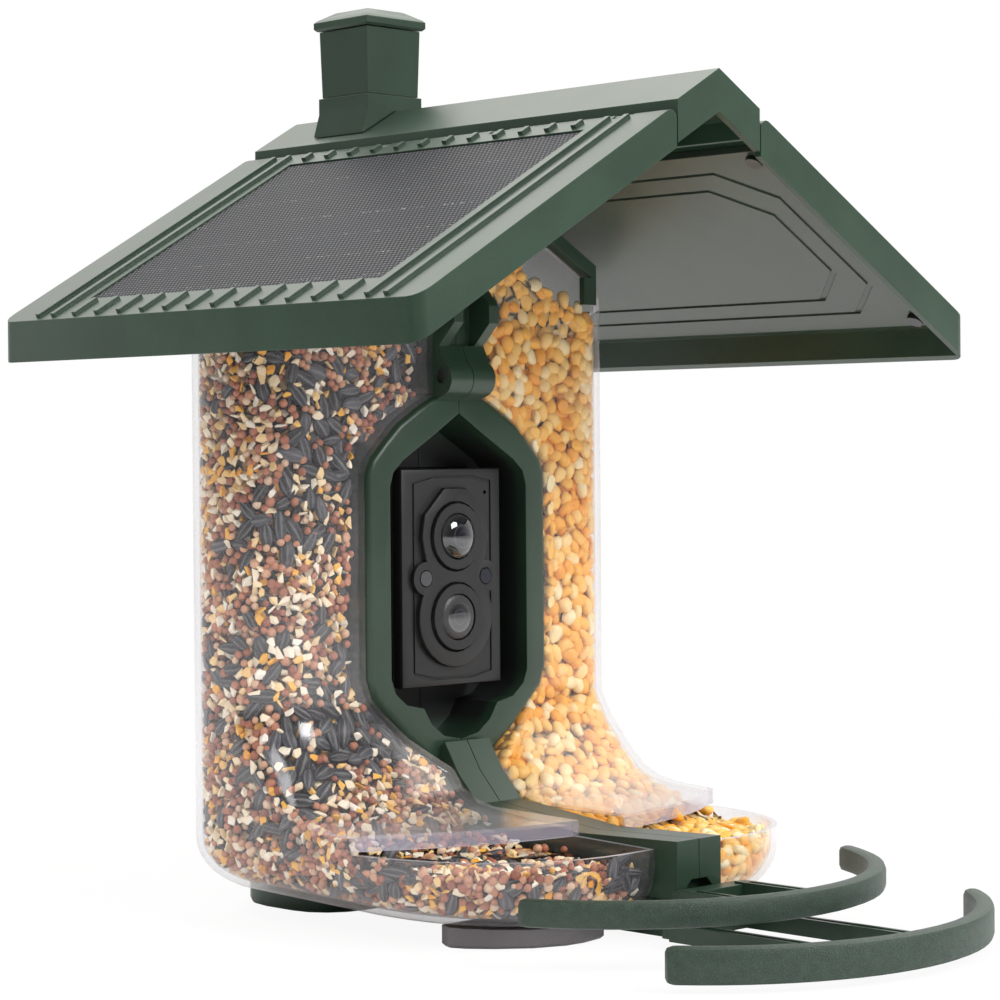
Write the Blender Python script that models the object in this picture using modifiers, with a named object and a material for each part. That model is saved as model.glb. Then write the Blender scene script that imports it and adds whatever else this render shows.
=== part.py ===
"""Camera bird feeder: two clear seed hoppers on a frame, a hinged solar roof and a double perch.

Metres, +Z up, the camera looks along -Y. The origin is on the ground at the centre of the rear foot.
"""

from math import acos, asin, atan, cos, hypot, pi, radians, sin, sqrt

import bmesh
import bpy
from mathutils import Matrix, Vector

MM = 0.001

# Fits
SEAT = 0.3 * MM
RUNNING = 0.35 * MM
OVERRUN = 3.0 * MM
WELD = 0.001 * MM

# Roof
ROOF_HALF_X = 126.3 * MM
ROOF_HALF_Y = 99.2 * MM
ROOF_CENTRE_Y = -51.0 * MM
EAVE_TOP_Z = 194.2 * MM
RIDGE_TOP_Z = 267.8 * MM
FASCIA_HEIGHT = 13.2 * MM
ROOF_SKIN = 3.2 * MM
ROOF_WALL = 2.5 * MM
EAVE_CORNER_RADIUS = 5.0 * MM

# Ridge cap and the beam inside it
CAP_HALF_X = 19.05 * MM
CAP_PROUD = 1.2 * MM
CAP_THICKNESS = 3.2 * MM
CAP_LIP_THICKNESS = 2.25 * MM
CAP_LIP_DEPTH = 4.7 * MM
BEAM_THICKNESS = 3.5 * MM
BEAM_LEG_THICKNESS = 3.0 * MM
BEAM_LEG_DEPTH = 7.8 * MM
BEAM_SIDE_GAP = 0.5 * MM

# Roof hinges
HINGE_RADIUS = 2.6 * MM
HINGE_EDGE_GAP = 0.5 * MM
HINGE_BORE_RADIUS = 1.35 * MM
HINGE_PIN_RADIUS = 1.0 * MM
LUG_LENGTH = 7.0 * MM
LUG_RADIUS = 2.4 * MM
LUG_PLACE_SHARES = (-0.82, -0.28, 0.28, 0.82)

# Solar panels and the ribs round them
SOLAR_INNER_X = 30.4 * MM
SOLAR_OUTER_X = 114.5 * MM
SOLAR_FRONT_Y = -121.9 * MM
SOLAR_BACK_Y = 16.3 * MM
SOLAR_POCKET = 2.2 * MM
SOLAR_THICKNESS = 1.4 * MM
RIB_WIDTH = 2.0 * MM
RIB_HEIGHT = 1.2 * MM
RIB_MARGIN = 1.6 * MM
RIB_COUNT = 12
LONG_RIB_SPACING = 8.0 * MM

# Liners under the roof
LINER_THICKNESS = 2.5 * MM
LINER_MARGIN = 4.0 * MM
LINER_CHAMFER = 16.0 * MM
LINER_GROOVE_WIDTH = 1.4 * MM
LINER_GROOVE_DEPTH = 0.7 * MM
LINER_GROOVE_MARGIN = 9.0 * MM
LINER_SCREW_MARGIN = 4.6 * MM
LINER_SCREW_HEAD_RADIUS = 3.0 * MM
LINER_SCREW_HEAD_HEIGHT = 1.4 * MM
LINER_SCREW_SHANK_RADIUS = 1.4 * MM

# Chimney
CHIMNEY_CENTRE_Y = 8.9 * MM
CHIMNEY_BASE_FOOT_HALF = 14.8 * MM
CHIMNEY_BASE_TOP_HALF = 12.5 * MM
CHIMNEY_SEAM_Z = 273.5 * MM
CHIMNEY_BODY_FOOT_HALF = 11.6 * MM
CHIMNEY_BODY_TOP_HALF = 12.2 * MM
CHIMNEY_RIM_HALF = 13.64 * MM
CHIMNEY_RIM_HEIGHT = 3.7 * MM
CHIMNEY_RIM_TOP_Z = 300.1 * MM
CHIMNEY_DOME_HEIGHT = 2.7 * MM
CHIMNEY_DOME_HALF = 8.2 * MM
CHIMNEY_EASE = 0.8 * MM

# Hoppers
HOPPER_INNER_X = 10.5 * MM
HOPPER_OUTER_X = 83.0 * MM
HOPPER_FRONT_Y = -32.8 * MM
HOPPER_BACK_Y = 18.0 * MM
HOPPER_CORNER_RADIUS = 21.0 * MM
HOPPER_WALL = 2.0 * MM
HOPPER_BELOW_ROOF = 19.5 * MM
HOPPER_FLOOR_FRONT_Z = 5.6 * MM
HOPPER_FLOOR_BACK_Z = 10.0 * MM
BOWL_FILLET = 16.4 * MM
BOWL_INNER_SHARE = 0.3
TRAY_CENTRE_X = 24.1 * MM
TRAY_CENTRE_Y = -61.8 * MM
TRAY_REACH = 70.4 * MM
TRAY_ROUNDNESS_SHARE = 2.3
TRAY_RIM_Z = 27.9 * MM
LIP_FRONT_Y = -99.0 * MM
LIP_ARC_RADIUS = 145.0 * MM
LIP_END_RADIUS = 6.0 * MM
LIP_BOTTOM_Z = 29.1 * MM
FRONT_POINTS = 12
CORNER_POINTS = 6

# Heights of the hopper's front, with how far it has drawn back at the frame and at the side
SWEEP_FOOT_Z = 34.0 * MM
SWEEP_TOP_Z = 66.0 * MM
SWEEP_HEIGHT_SHARES = (0.0, 0.035, 0.19, 0.375, 0.71, 1.0)
SWEEP_CENTRE_SHARES = (1.0, 0.42, 0.21, 0.14, 0.035, 0.0)
SWEEP_SIDE_SHARES = (1.0, 0.71, 0.41, 0.30, 0.115, 0.0)
SWEEP_SIDE_X = 64.0 * MM

# Frame: neck, ring round the camera, arm and nose
FRAME_SPLIT = 0.15 * MM
FRAME_HALF_X = 10.2 * MM
FRAME_BACK_Y = 18.0 * MM
FRAME_TOP_Z = 238.0 * MM
FRAME_BOTTOM_Z = 12.7 * MM
NECK_FRONT_Y = -43.0 * MM
NECK_FLARE_Z = 194.0 * MM
NECK_FLARE_TOP_Z = 200.0 * MM
NECK_SHOULDER_Z = 212.0 * MM
NECK_WAIST_Y = -35.7 * MM
NECK_WAIST_Z = 186.7 * MM
BEAD_FRONT_Y = -41.6 * MM
BEAD_Z = 175.5 * MM
BEAD_RADIUS = 6.0 * MM
CHANNEL_HALF_X = 6.0 * MM
CHANNEL_BACK_Y = -33.0 * MM
ARM_POINTS_YZ = (
    (-36.9 * MM, 54.6 * MM),
    (-43.1 * MM, 44.9 * MM),
    (-52.4 * MM, 35.3 * MM),
    (-97.0 * MM, 30.0 * MM),
)
NOSE_FRONT_Y = -140.0 * MM
NOSE_TOP_Z = 31.0 * MM
NOSE_ARCH_HALF_X = 7.2 * MM
NOSE_ARCH_TOP_Z = 18.7 * MM
NOSE_ARCH_DEPTH = 4.0 * MM
BACK_PLATE_HALF_X = 22.0 * MM
BACK_PLATE_THICKNESS = 2.8 * MM
RING_FRONT_Y = -34.2 * MM
RING_BACK_Y = 6.0 * MM
RING_LIP_ROUNDING = 2.0 * MM
RING_TOP_Z = 169.9 * MM
RING_BOTTOM_Z = 46.0 * MM
RING_OUTLINE_XZ = (
    (10.5 * MM, RING_TOP_Z),
    (18.0 * MM, 166.0 * MM),
    (27.0 * MM, 160.5 * MM),
    (33.0 * MM, 155.0 * MM),
    (39.0 * MM, 149.0 * MM),
    (41.1 * MM, 144.0 * MM),
    (41.1 * MM, 77.0 * MM),
    (38.6 * MM, 70.4 * MM),
    (32.0 * MM, 64.0 * MM),
    (24.5 * MM, 56.7 * MM),
    (13.0 * MM, 48.0 * MM),
    (10.5 * MM, RING_BOTTOM_Z),
)
RING_NOTCH_GAP = 0.5 * MM
HOLE_OUTLINE_XZ = (
    (0.0, 164.1 * MM),
    (11.0 * MM, 157.2 * MM),
    (25.5 * MM, 148.6 * MM),
    (30.0 * MM, 144.6 * MM),
    (31.5 * MM, 140.0 * MM),
    (31.5 * MM, 76.5 * MM),
    (29.6 * MM, 71.6 * MM),
    (24.6 * MM, 67.6 * MM),
    (17.0 * MM, 66.0 * MM),
    (13.6 * MM, 60.6 * MM),
    (8.0 * MM, 56.4 * MM),
    (0.0, 54.7 * MM),
)
POCKET_STEP_Y = -14.0 * MM
POCKET_WALL = 3.6 * MM

# Screws across the frame, as places in Y and Z
FRAME_SCREW_PLACES_YZ = (
    (-36.4 * MM, 176.6 * MM),
    (12.0 * MM, 110.0 * MM),
    (-118.0 * MM, 24.0 * MM),
)
FRAME_SCREW_HEAD_RADIUS = 2.2 * MM
FRAME_SCREW_HEAD_DEPTH = 1.6 * MM
FRAME_SCREW_RECESS = 0.8 * MM
FRAME_SCREW_SHANK_RADIUS = 1.1 * MM
FRAME_SCREW_LENGTH = 15.0 * MM

# Bracket on the hopper tops
BRACKET_OUTER_X = 66.0 * MM
BRACKET_HEIGHT = 5.2 * MM
BRACKET_RAIL_WIDTH = 6.0 * MM
BRACKET_HOOK_LENGTH = 6.0 * MM
BRACKET_HOOK_DEPTH = 7.0 * MM
BRACKET_HOOK_THICKNESS = 2.4 * MM
BRACKET_BLOCK_HALF_X = 9.0 * MM

# Feet
REAR_FOOT_HALF_X = 53.0 * MM
REAR_FOOT_HALF_Y = 25.0 * MM
REAR_FOOT_CORNER = 18.0 * MM
REAR_FOOT_ROUNDING = 1.6 * MM
REAR_BOSS_HALF_X = 9.0 * MM
REAR_BOSS_HALF_Y = 15.0 * MM
FRONT_FOOT_POINTS_XY = (
    (20.0 * MM, -91.0 * MM),
    (20.0 * MM, -118.2 * MM),
    (30.0 * MM, -120.1 * MM),
    (37.7 * MM, -119.6 * MM),
    (48.0 * MM, -115.4 * MM),
    (57.1 * MM, -107.7 * MM),
    (63.0 * MM, -100.4 * MM),
    (65.0 * MM, -95.3 * MM),
    (63.4 * MM, -91.0 * MM),
)
FRONT_FOOT_ROUNDING = 0.9 * MM

# Perch and its socket
SOCKET_HALF_X = 10.2 * MM
SOCKET_BACK_Y = -104.5 * MM
SOCKET_FRONT_Y = -141.7 * MM
SOCKET_BOTTOM_Z = 1.1 * MM
TONGUE_HALF_X = 5.5 * MM
TONGUE_BOTTOM_Z = 3.4 * MM
TONGUE_TOP_Z = 9.4 * MM
TONGUE_BACK_Y = -108.0 * MM
PERCH_HEAD_LENGTH = 6.6 * MM
PERCH_WEB_HALF_X = 4.6 * MM
LOWER_RAIL_X = 17.5 * MM
LOWER_RAIL_WIDTH = 5.0 * MM
LOWER_RAIL_BOTTOM_Z = 2.1 * MM
LOWER_RAIL_TOP_Z = 7.5 * MM
UPPER_RAIL_X = 12.8 * MM
UPPER_RAIL_WIDTH = 4.6 * MM
UPPER_RAIL_BOTTOM_Z = 11.8 * MM
UPPER_RAIL_TOP_Z = 17.1 * MM
RAIL_GROOVE_WIDTH = 2.2 * MM
RAIL_GROOVE_DEPTH = 1.2 * MM
INNER_BAR_RADIUS = 85.0 * MM
INNER_BAR_CENTRE_Y = -105.15 * MM
INNER_BAR_HALF_ANGLE = radians(67.5)
INNER_BAR_BOTTOM_Z = 12.8 * MM
INNER_BAR_TOP_Z = 20.9 * MM
OUTER_BAR_RADIUS = 91.1 * MM
OUTER_BAR_CENTRE_Y = -138.7 * MM
OUTER_BAR_HALF_ANGLE = radians(54.3)
OUTER_BAR_BOTTOM_Z = 2.2 * MM
OUTER_BAR_TOP_Z = 12.9 * MM
BAR_THICKNESS = 6.0 * MM
BAR_ROUNDING = 1.7 * MM
BAR_ARC_POINTS = 25

# Camera module
CAMERA_HALF_X = 23.0 * MM
CAMERA_BOTTOM_Z = 72.5 * MM
CAMERA_TOP_Z = 145.6 * MM
CAMERA_FACE_Y = -30.4 * MM
CAMERA_BACK_Y = -1.0 * MM
CAMERA_ROUNDING = 1.2 * MM
FACE_THICKNESS = 3.0 * MM
SEAL_THICKNESS = 1.2 * MM
SEAL_WIDTH = 2.0 * MM
HOUSING_WALL = 2.2 * MM
REAR_COVER_THICKNESS = 2.4 * MM
BOARD_THICKNESS = 1.6 * MM
BOARD_GAP = 5.0 * MM
BATTERY_DEPTH = 8.0 * MM
BATTERY_HALF_X = 17.0 * MM
BATTERY_HEIGHT = 44.0 * MM
PLATE_PROUD = 2.0 * MM
PLATE_TOP_HALF_X = 5.1 * MM
PLATE_TOP_Z = 139.0 * MM
PLATE_SHOULDER_HALF_X = 14.2 * MM
PLATE_SHOULDER_Z = 130.2 * MM
PLATE_UPPER_HALF_X = 15.4 * MM
PLATE_UPPER_Z = 123.0 * MM
PLATE_WAIST_HALF_X = 13.8 * MM
PLATE_WAIST_Z = 115.4 * MM
PLATE_LOBE_RADIUS = 17.0 * MM
SENSOR_X = 13.8 * MM
SENSOR_Z = 109.0 * MM
SENSOR_BOSS_RADIUS = 5.6 * MM
SENSOR_WINDOW_RADIUS = 2.6 * MM
SENSOR_WINDOW_DEPTH = 1.6 * MM
UPPER_LENS_Z = 122.8 * MM
LOWER_LENS_Z = 95.7 * MM
LENS_RING_RADIUS = 11.6 * MM
LENS_RING_INNER_RADIUS = 8.2 * MM
LENS_RING_PROUD = 1.0 * MM
LENS_RING_SEAT = 1.2 * MM
LENS_RADIUS = 7.6 * MM
LENS_DOME_HEIGHT = 3.2 * MM
LENS_EDGE = 1.0 * MM
BARREL_RADIUS = 5.6 * MM
MICROPHONE_X = 15.4 * MM
MICROPHONE_Z = 137.4 * MM
MICROPHONE_RADIUS = 0.7 * MM
GROOVE_HALF_X = 17.4 * MM
GROOVE_TOP_Z = 140.6 * MM
GROOVE_BOTTOM_Z = 77.5 * MM
GROOVE_RISE = 1.9 * MM
GROOVE_WIDTH = 0.8 * MM
GROOVE_DEPTH = 0.6 * MM
PORT_HALF_X = 5.6 * MM
PORT_HALF_Z = 3.0 * MM
PORT_Z = 84.0 * MM
PORT_PLUG_PROUD = 0.5 * MM
CAMERA_SCREW_HEAD_RADIUS = 1.9 * MM
CAMERA_SCREW_HEAD_HEIGHT = 1.1 * MM
CAMERA_SCREW_SHANK_RADIUS = 0.9 * MM
CAMERA_SCREW_INSET = 4.4 * MM
CAMERA_SCREW_LENGTH = 6.0 * MM
BUTTON_RADIUS = 3.6 * MM
BUTTON_FLANGE_RADIUS = 4.7 * MM
BUTTON_FLANGE_HEIGHT = 1.2 * MM
BUTTON_Y = -14.0 * MM

# Values that follow from the ones above
PANEL_APEX_Z = RIDGE_TOP_Z - CAP_PROUD
ROOF_SLOPE = (PANEL_APEX_Z - EAVE_TOP_Z) / ROOF_HALF_X
ROOF_PITCH = atan(ROOF_SLOPE)
ROOF_FRONT_Y = ROOF_CENTRE_Y - ROOF_HALF_Y
ROOF_BACK_Y = ROOF_CENTRE_Y + ROOF_HALF_Y
HINGE_X = CAP_HALF_X + HINGE_EDGE_GAP + HINGE_RADIUS
HINGE_Z = PANEL_APEX_Z - ROOF_SLOPE * HINGE_X - HINGE_RADIUS / cos(ROOF_PITCH)
CAMERA_MID_Z = (CAMERA_BOTTOM_Z + CAMERA_TOP_Z) / 2
FACE_BACK_Y = CAMERA_FACE_Y + FACE_THICKNESS
HOUSING_FRONT_Y = FACE_BACK_Y + SEAL_THICKNESS + 2 * SEAT
HOUSING_BACK_Y = CAMERA_BACK_Y - REAR_COVER_THICKNESS - SEAT
TRAY_FRONT_Y = TRAY_CENTRE_Y - TRAY_REACH

SIDES = {"left": -1.0, "right": 1.0}


def roof_z(x):
    """Height of the roof panels' top surface at a distance from the ridge."""
    return PANEL_APEX_Z - ROOF_SLOPE * abs(x)


def hopper_top_z(x):
    """Height of a hopper's sloped mouth, which follows the roof."""
    return roof_z(x) - HOPPER_BELOW_ROOF


def hopper_floor_z(y):
    """Height of the hopper's flat floor, which falls towards the tray."""
    share = (y - TRAY_FRONT_Y) / (HOPPER_BACK_Y - TRAY_FRONT_Y)
    return HOPPER_FLOOR_FRONT_Z + (HOPPER_FLOOR_BACK_Z - HOPPER_FLOOR_FRONT_Z) * share


def between(table, value):
    """Value read off a table of pairs in rising order, with straight lines between them."""
    if value <= table[0][0]:
        return table[0][1]
    for (low, first), (high, last) in zip(table, table[1:]):
        if value <= high:
            return first + (last - first) * (value - low) / (high - low)
    return table[-1][1]


# Scene, collections and materials
for existing in list(bpy.data.objects):
    bpy.data.objects.remove(existing)

PRODUCT = bpy.data.collections.new("bird_feeder")
CUTTERS = bpy.data.collections.new("cutters")
bpy.context.scene.collection.children.link(PRODUCT)
bpy.context.scene.collection.children.link(CUTTERS)


def material(name, colour, roughness, metallic=0.0, alpha=1.0):
    """Principled material with the piece's colour, roughness and metallic value."""
    made = bpy.data.materials.new(name)
    made.use_nodes = True
    shader = made.node_tree.nodes["Principled BSDF"]
    shader.inputs["Base Color"].default_value = (*colour, 1.0)
    shader.inputs["Roughness"].default_value = roughness
    shader.inputs["Metallic"].default_value = metallic
    shader.inputs["Alpha"].default_value = alpha
    made.diffuse_color = (*colour, alpha)
    return made


GREEN = material("green_plastic", (0.035, 0.075, 0.05), 0.42)
GREEN_GRIP = material("grained_green_plastic", (0.04, 0.085, 0.055), 0.7)
CLEAR = material("clear_plastic", (0.86, 0.87, 0.9), 0.12, alpha=0.3)
FROSTED = material("frosted_grey_plastic", (0.5, 0.5, 0.54), 0.35, alpha=0.7)
BLACK = material("black_plastic", (0.012, 0.012, 0.014), 0.5)
RUBBER = material("black_rubber", (0.02, 0.02, 0.02), 0.8)
SOLAR = material("solar_glass", (0.03, 0.035, 0.055), 0.2)
LENS = material("lens_glass", (0.02, 0.02, 0.03), 0.04)
STEEL = material("steel", (0.6, 0.6, 0.6), 0.3, metallic=1.0)
BOARD = material("circuit_board", (0.02, 0.16, 0.06), 0.5)
CELL = material("battery_sleeve", (0.05, 0.12, 0.35), 0.4)


# Meshes
def turned_right_way(bm):
    """Makes every face of a closed mesh look outwards."""
    bmesh.ops.recalc_face_normals(bm, faces=bm.faces)


def mesh_from(bm, name):
    """Ends a bmesh as a mesh."""
    mesh = bpy.data.meshes.new(name)
    bm.to_mesh(mesh)
    bm.free()
    return mesh


def box_mesh(low, high):
    """Box between two corners."""
    bm = bmesh.new()
    bmesh.ops.create_cube(bm, size=1.0)
    centre = (Vector(low) + Vector(high)) / 2
    size = Vector(high) - Vector(low)
    for vert in bm.verts:
        vert.co = centre + Vector([c * s for c, s in zip(vert.co, size)])
    return mesh_from(bm, "box")


PLANES = {
    "XY": Matrix.Identity(4),
    "XZ": Matrix(((1, 0, 0, 0), (0, 0, 1, 0), (0, 1, 0, 0), (0, 0, 0, 1))),
    "YZ": Matrix(((0, 0, 1, 0), (1, 0, 0, 0), (0, 1, 0, 0), (0, 0, 0, 1))),
}


def outline_mesh(outline, low, high, plane, rounding=0.0, ends="both", segments=2):
    """Flat outline drawn in a plane, made thick from low to high across it, with rounded rims."""
    curve = bpy.data.curves.new("outline", "CURVE")
    curve.dimensions = "2D"
    curve.fill_mode = "BOTH"
    curve.extrude = (high - low) / 2
    spline = curve.splines.new("POLY")
    spline.points.add(len(outline) - 1)
    for point, (a, b) in zip(spline.points, outline):
        point.co = (a, b, 0.0, 1.0)
    spline.use_cyclic_u = True
    holder = bpy.data.objects.new("outline", curve)
    CUTTERS.objects.link(holder)
    graph = bpy.context.evaluated_depsgraph_get()
    mesh = bpy.data.meshes.new_from_object(holder.evaluated_get(graph))
    bpy.data.objects.remove(holder)
    bpy.data.curves.remove(curve)
    bm = bmesh.new()
    bm.from_mesh(mesh)
    bpy.data.meshes.remove(mesh)
    bmesh.ops.remove_doubles(bm, verts=bm.verts, dist=WELD)
    bmesh.ops.dissolve_limit(bm, angle_limit=radians(0.2), verts=bm.verts, edges=bm.edges)
    turned_right_way(bm)
    if rounding:
        half = (high - low) / 2
        wanted = {"both": (-half, half), "low": (-half,), "high": (half,)}[ends]
        rims = [
            edge
            for edge in bm.edges
            for level in wanted
            if all(abs(vert.co.z - level) < WELD for vert in edge.verts)
        ]
        bmesh.ops.bevel(bm, geom=rims, offset=rounding, segments=segments, profile=0.5, affect="EDGES")
    bmesh.ops.translate(bm, verts=bm.verts, vec=(0.0, 0.0, (high + low) / 2))
    bmesh.ops.transform(bm, matrix=PLANES[plane], verts=bm.verts)
    turned_right_way(bm)
    return mesh_from(bm, "outline")


def cylinder_mesh(radius, low, high, axis, centre, sides=20, end_radius=None):
    """Cylinder or cone along an axis, between two places on it."""
    bm = bmesh.new()
    bmesh.ops.create_cone(
        bm,
        cap_ends=True,
        segments=sides,
        radius1=radius,
        radius2=radius if end_radius is None else end_radius,
        depth=high - low,
    )
    bmesh.ops.translate(bm, verts=bm.verts, vec=(0.0, 0.0, (high + low) / 2))
    turn = {"X": "YZ", "Y": "XZ", "Z": "XY"}[axis]
    bmesh.ops.transform(bm, matrix=PLANES[turn], verts=bm.verts)
    bmesh.ops.translate(bm, verts=bm.verts, vec=centre)
    turned_right_way(bm)
    return mesh_from(bm, "cylinder")


def stacked_mesh(levels, centre):
    """Rectangular sections, each a height with its half sizes in X and Y, joined from the bottom up."""
    bm = bmesh.new()
    rings = []
    for z, half_x, half_y in levels:
        corners = ((-half_x, -half_y), (half_x, -half_y), (half_x, half_y), (-half_x, half_y))
        rings.append([bm.verts.new(Vector(centre) + Vector((x, y, z))) for x, y in corners])
    for lower, upper in zip(rings, rings[1:]):
        for i, vert in enumerate(lower):
            j = (i + 1) % len(lower)
            bm.faces.new((vert, lower[j], upper[j], upper[i]))
    bm.faces.new(reversed(rings[0]))
    bm.faces.new(rings[-1])
    turned_right_way(bm)
    return mesh_from(bm, "stack")


def placed(mesh, matrix):
    """Moves a mesh, and keeps its faces looking out if the move mirrors it."""
    mesh.transform(matrix)
    if matrix.determinant() < 0:
        mesh.flip_normals()
    return mesh


# Objects
def piece(name, mesh, look):
    """Named sub-part with its material."""
    obj = bpy.data.objects.new(name, mesh)
    mesh.name = name
    mesh.materials.append(look)
    PRODUCT.objects.link(obj)
    return obj


def tool(mesh):
    """Shape that only cuts or joins another one."""
    obj = bpy.data.objects.new("cutter", mesh)
    obj.hide_render = True
    obj.display_type = "WIRE"
    CUTTERS.objects.link(obj)
    return obj


def combine(obj, mesh, operation):
    """Cuts a mesh out of an object or joins it on."""
    change = obj.modifiers.new(operation.lower(), "BOOLEAN")
    change.operation = operation
    change.object = mesh if isinstance(mesh, bpy.types.Object) else tool(mesh)


def cut(obj, *meshes):
    """Cuts meshes out of an object."""
    for mesh in meshes:
        combine(obj, mesh, "DIFFERENCE")


def join(obj, *meshes):
    """Joins meshes onto an object as one solid."""
    for mesh in meshes:
        combine(obj, mesh, "UNION")


def groove_tool(outer, inner, low, high, plane, matrix=None):
    """Cutter for a groove between two outlines, one inside the other."""
    groove = outline_mesh(outer, low, high, plane)
    island = outline_mesh(inner, low - OVERRUN, high + OVERRUN, plane)
    if matrix:
        placed(groove, matrix)
        placed(island, matrix)
    obj = tool(groove)
    combine(obj, island, "DIFFERENCE")
    return obj


def pieces(name, meshes, look):
    """Alike sub-parts, numbered from one."""
    return [piece(f"{name}_{i}", mesh, look) for i, mesh in enumerate(meshes, 1)]


def axis_empty(name, place, *children):
    """Empty on a joint's axis, carrying the pieces that move with it."""
    empty = bpy.data.objects.new(name, None)
    empty.location = place
    PRODUCT.objects.link(empty)
    for child in children:
        child.parent = empty
        child.matrix_parent_inverse = Matrix.Translation(-Vector(place))
    return empty


def arc(centre, radius, start, end, count):
    """Points of an arc between two angles."""
    steps = [start + (end - start) * i / (count - 1) for i in range(count)]
    return [(centre[0] + radius * cos(t), centre[1] + radius * sin(t)) for t in steps]


def both_sides(half):
    """Closed outline from its right half, given from the top down."""
    left = [(-x, z) for x, z in reversed(half) if x > 0]
    return list(half) + left


# Roof
def slope_matrix(side):
    """Frame of a roof slope: out along it, along the ridge and up square to it."""
    run, fall = cos(ROOF_PITCH), sin(ROOF_PITCH)
    return Matrix(
        (
            (side * run, 0, side * fall, 0),
            (0, 1, 0, 0),
            (-fall, 0, run, PANEL_APEX_Z),
            (0, 0, 0, 1),
        )
    )


def on_slope(x):
    """Distance along the slope of a place this far from the ridge."""
    return x / cos(ROOF_PITCH)


def slope_box(side, x_range, y_range, w_range):
    """Box lying in the slope, with its X range measured level from the ridge."""
    low = (on_slope(x_range[0]), y_range[0], w_range[0])
    high = (on_slope(x_range[1]), y_range[1], w_range[1])
    return placed(box_mesh(low, high), slope_matrix(side))


def lug_places():
    """Places along the ridge of the hinge lugs."""
    return [ROOF_CENTRE_Y + share * ROOF_HALF_Y for share in LUG_PLACE_SHARES]


def rib_meshes(side):
    """Standing ribs: long ones beside the solar panel and rows of short ones above and below it."""
    inner = HINGE_X + LUG_RADIUS + 2 * RUNNING
    outer = ROOF_HALF_X - RIB_MARGIN
    heights = (-RIB_HEIGHT, RIB_HEIGHT)
    meshes = []
    for edge, away in ((SOLAR_FRONT_Y, -1), (SOLAR_BACK_Y, 1)):
        for step in (1, 2):
            y = edge + away * (RIB_MARGIN + LONG_RIB_SPACING * (step - 1) + LONG_RIB_SPACING / 2)
            meshes.append(slope_box(side, (inner, outer), (y - RIB_WIDTH / 2, y + RIB_WIDTH / 2), heights))
    spacing = (SOLAR_BACK_Y - SOLAR_FRONT_Y) / RIB_COUNT
    for i in range(RIB_COUNT):
        y = SOLAR_FRONT_Y + spacing * (i + 0.5)
        across = (y - RIB_WIDTH / 2, y + RIB_WIDTH / 2)
        meshes.append(slope_box(side, (inner, SOLAR_INNER_X - RIB_MARGIN), across, heights))
        meshes.append(slope_box(side, (SOLAR_OUTER_X + RIB_MARGIN, outer), across, heights))
    return meshes


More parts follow.
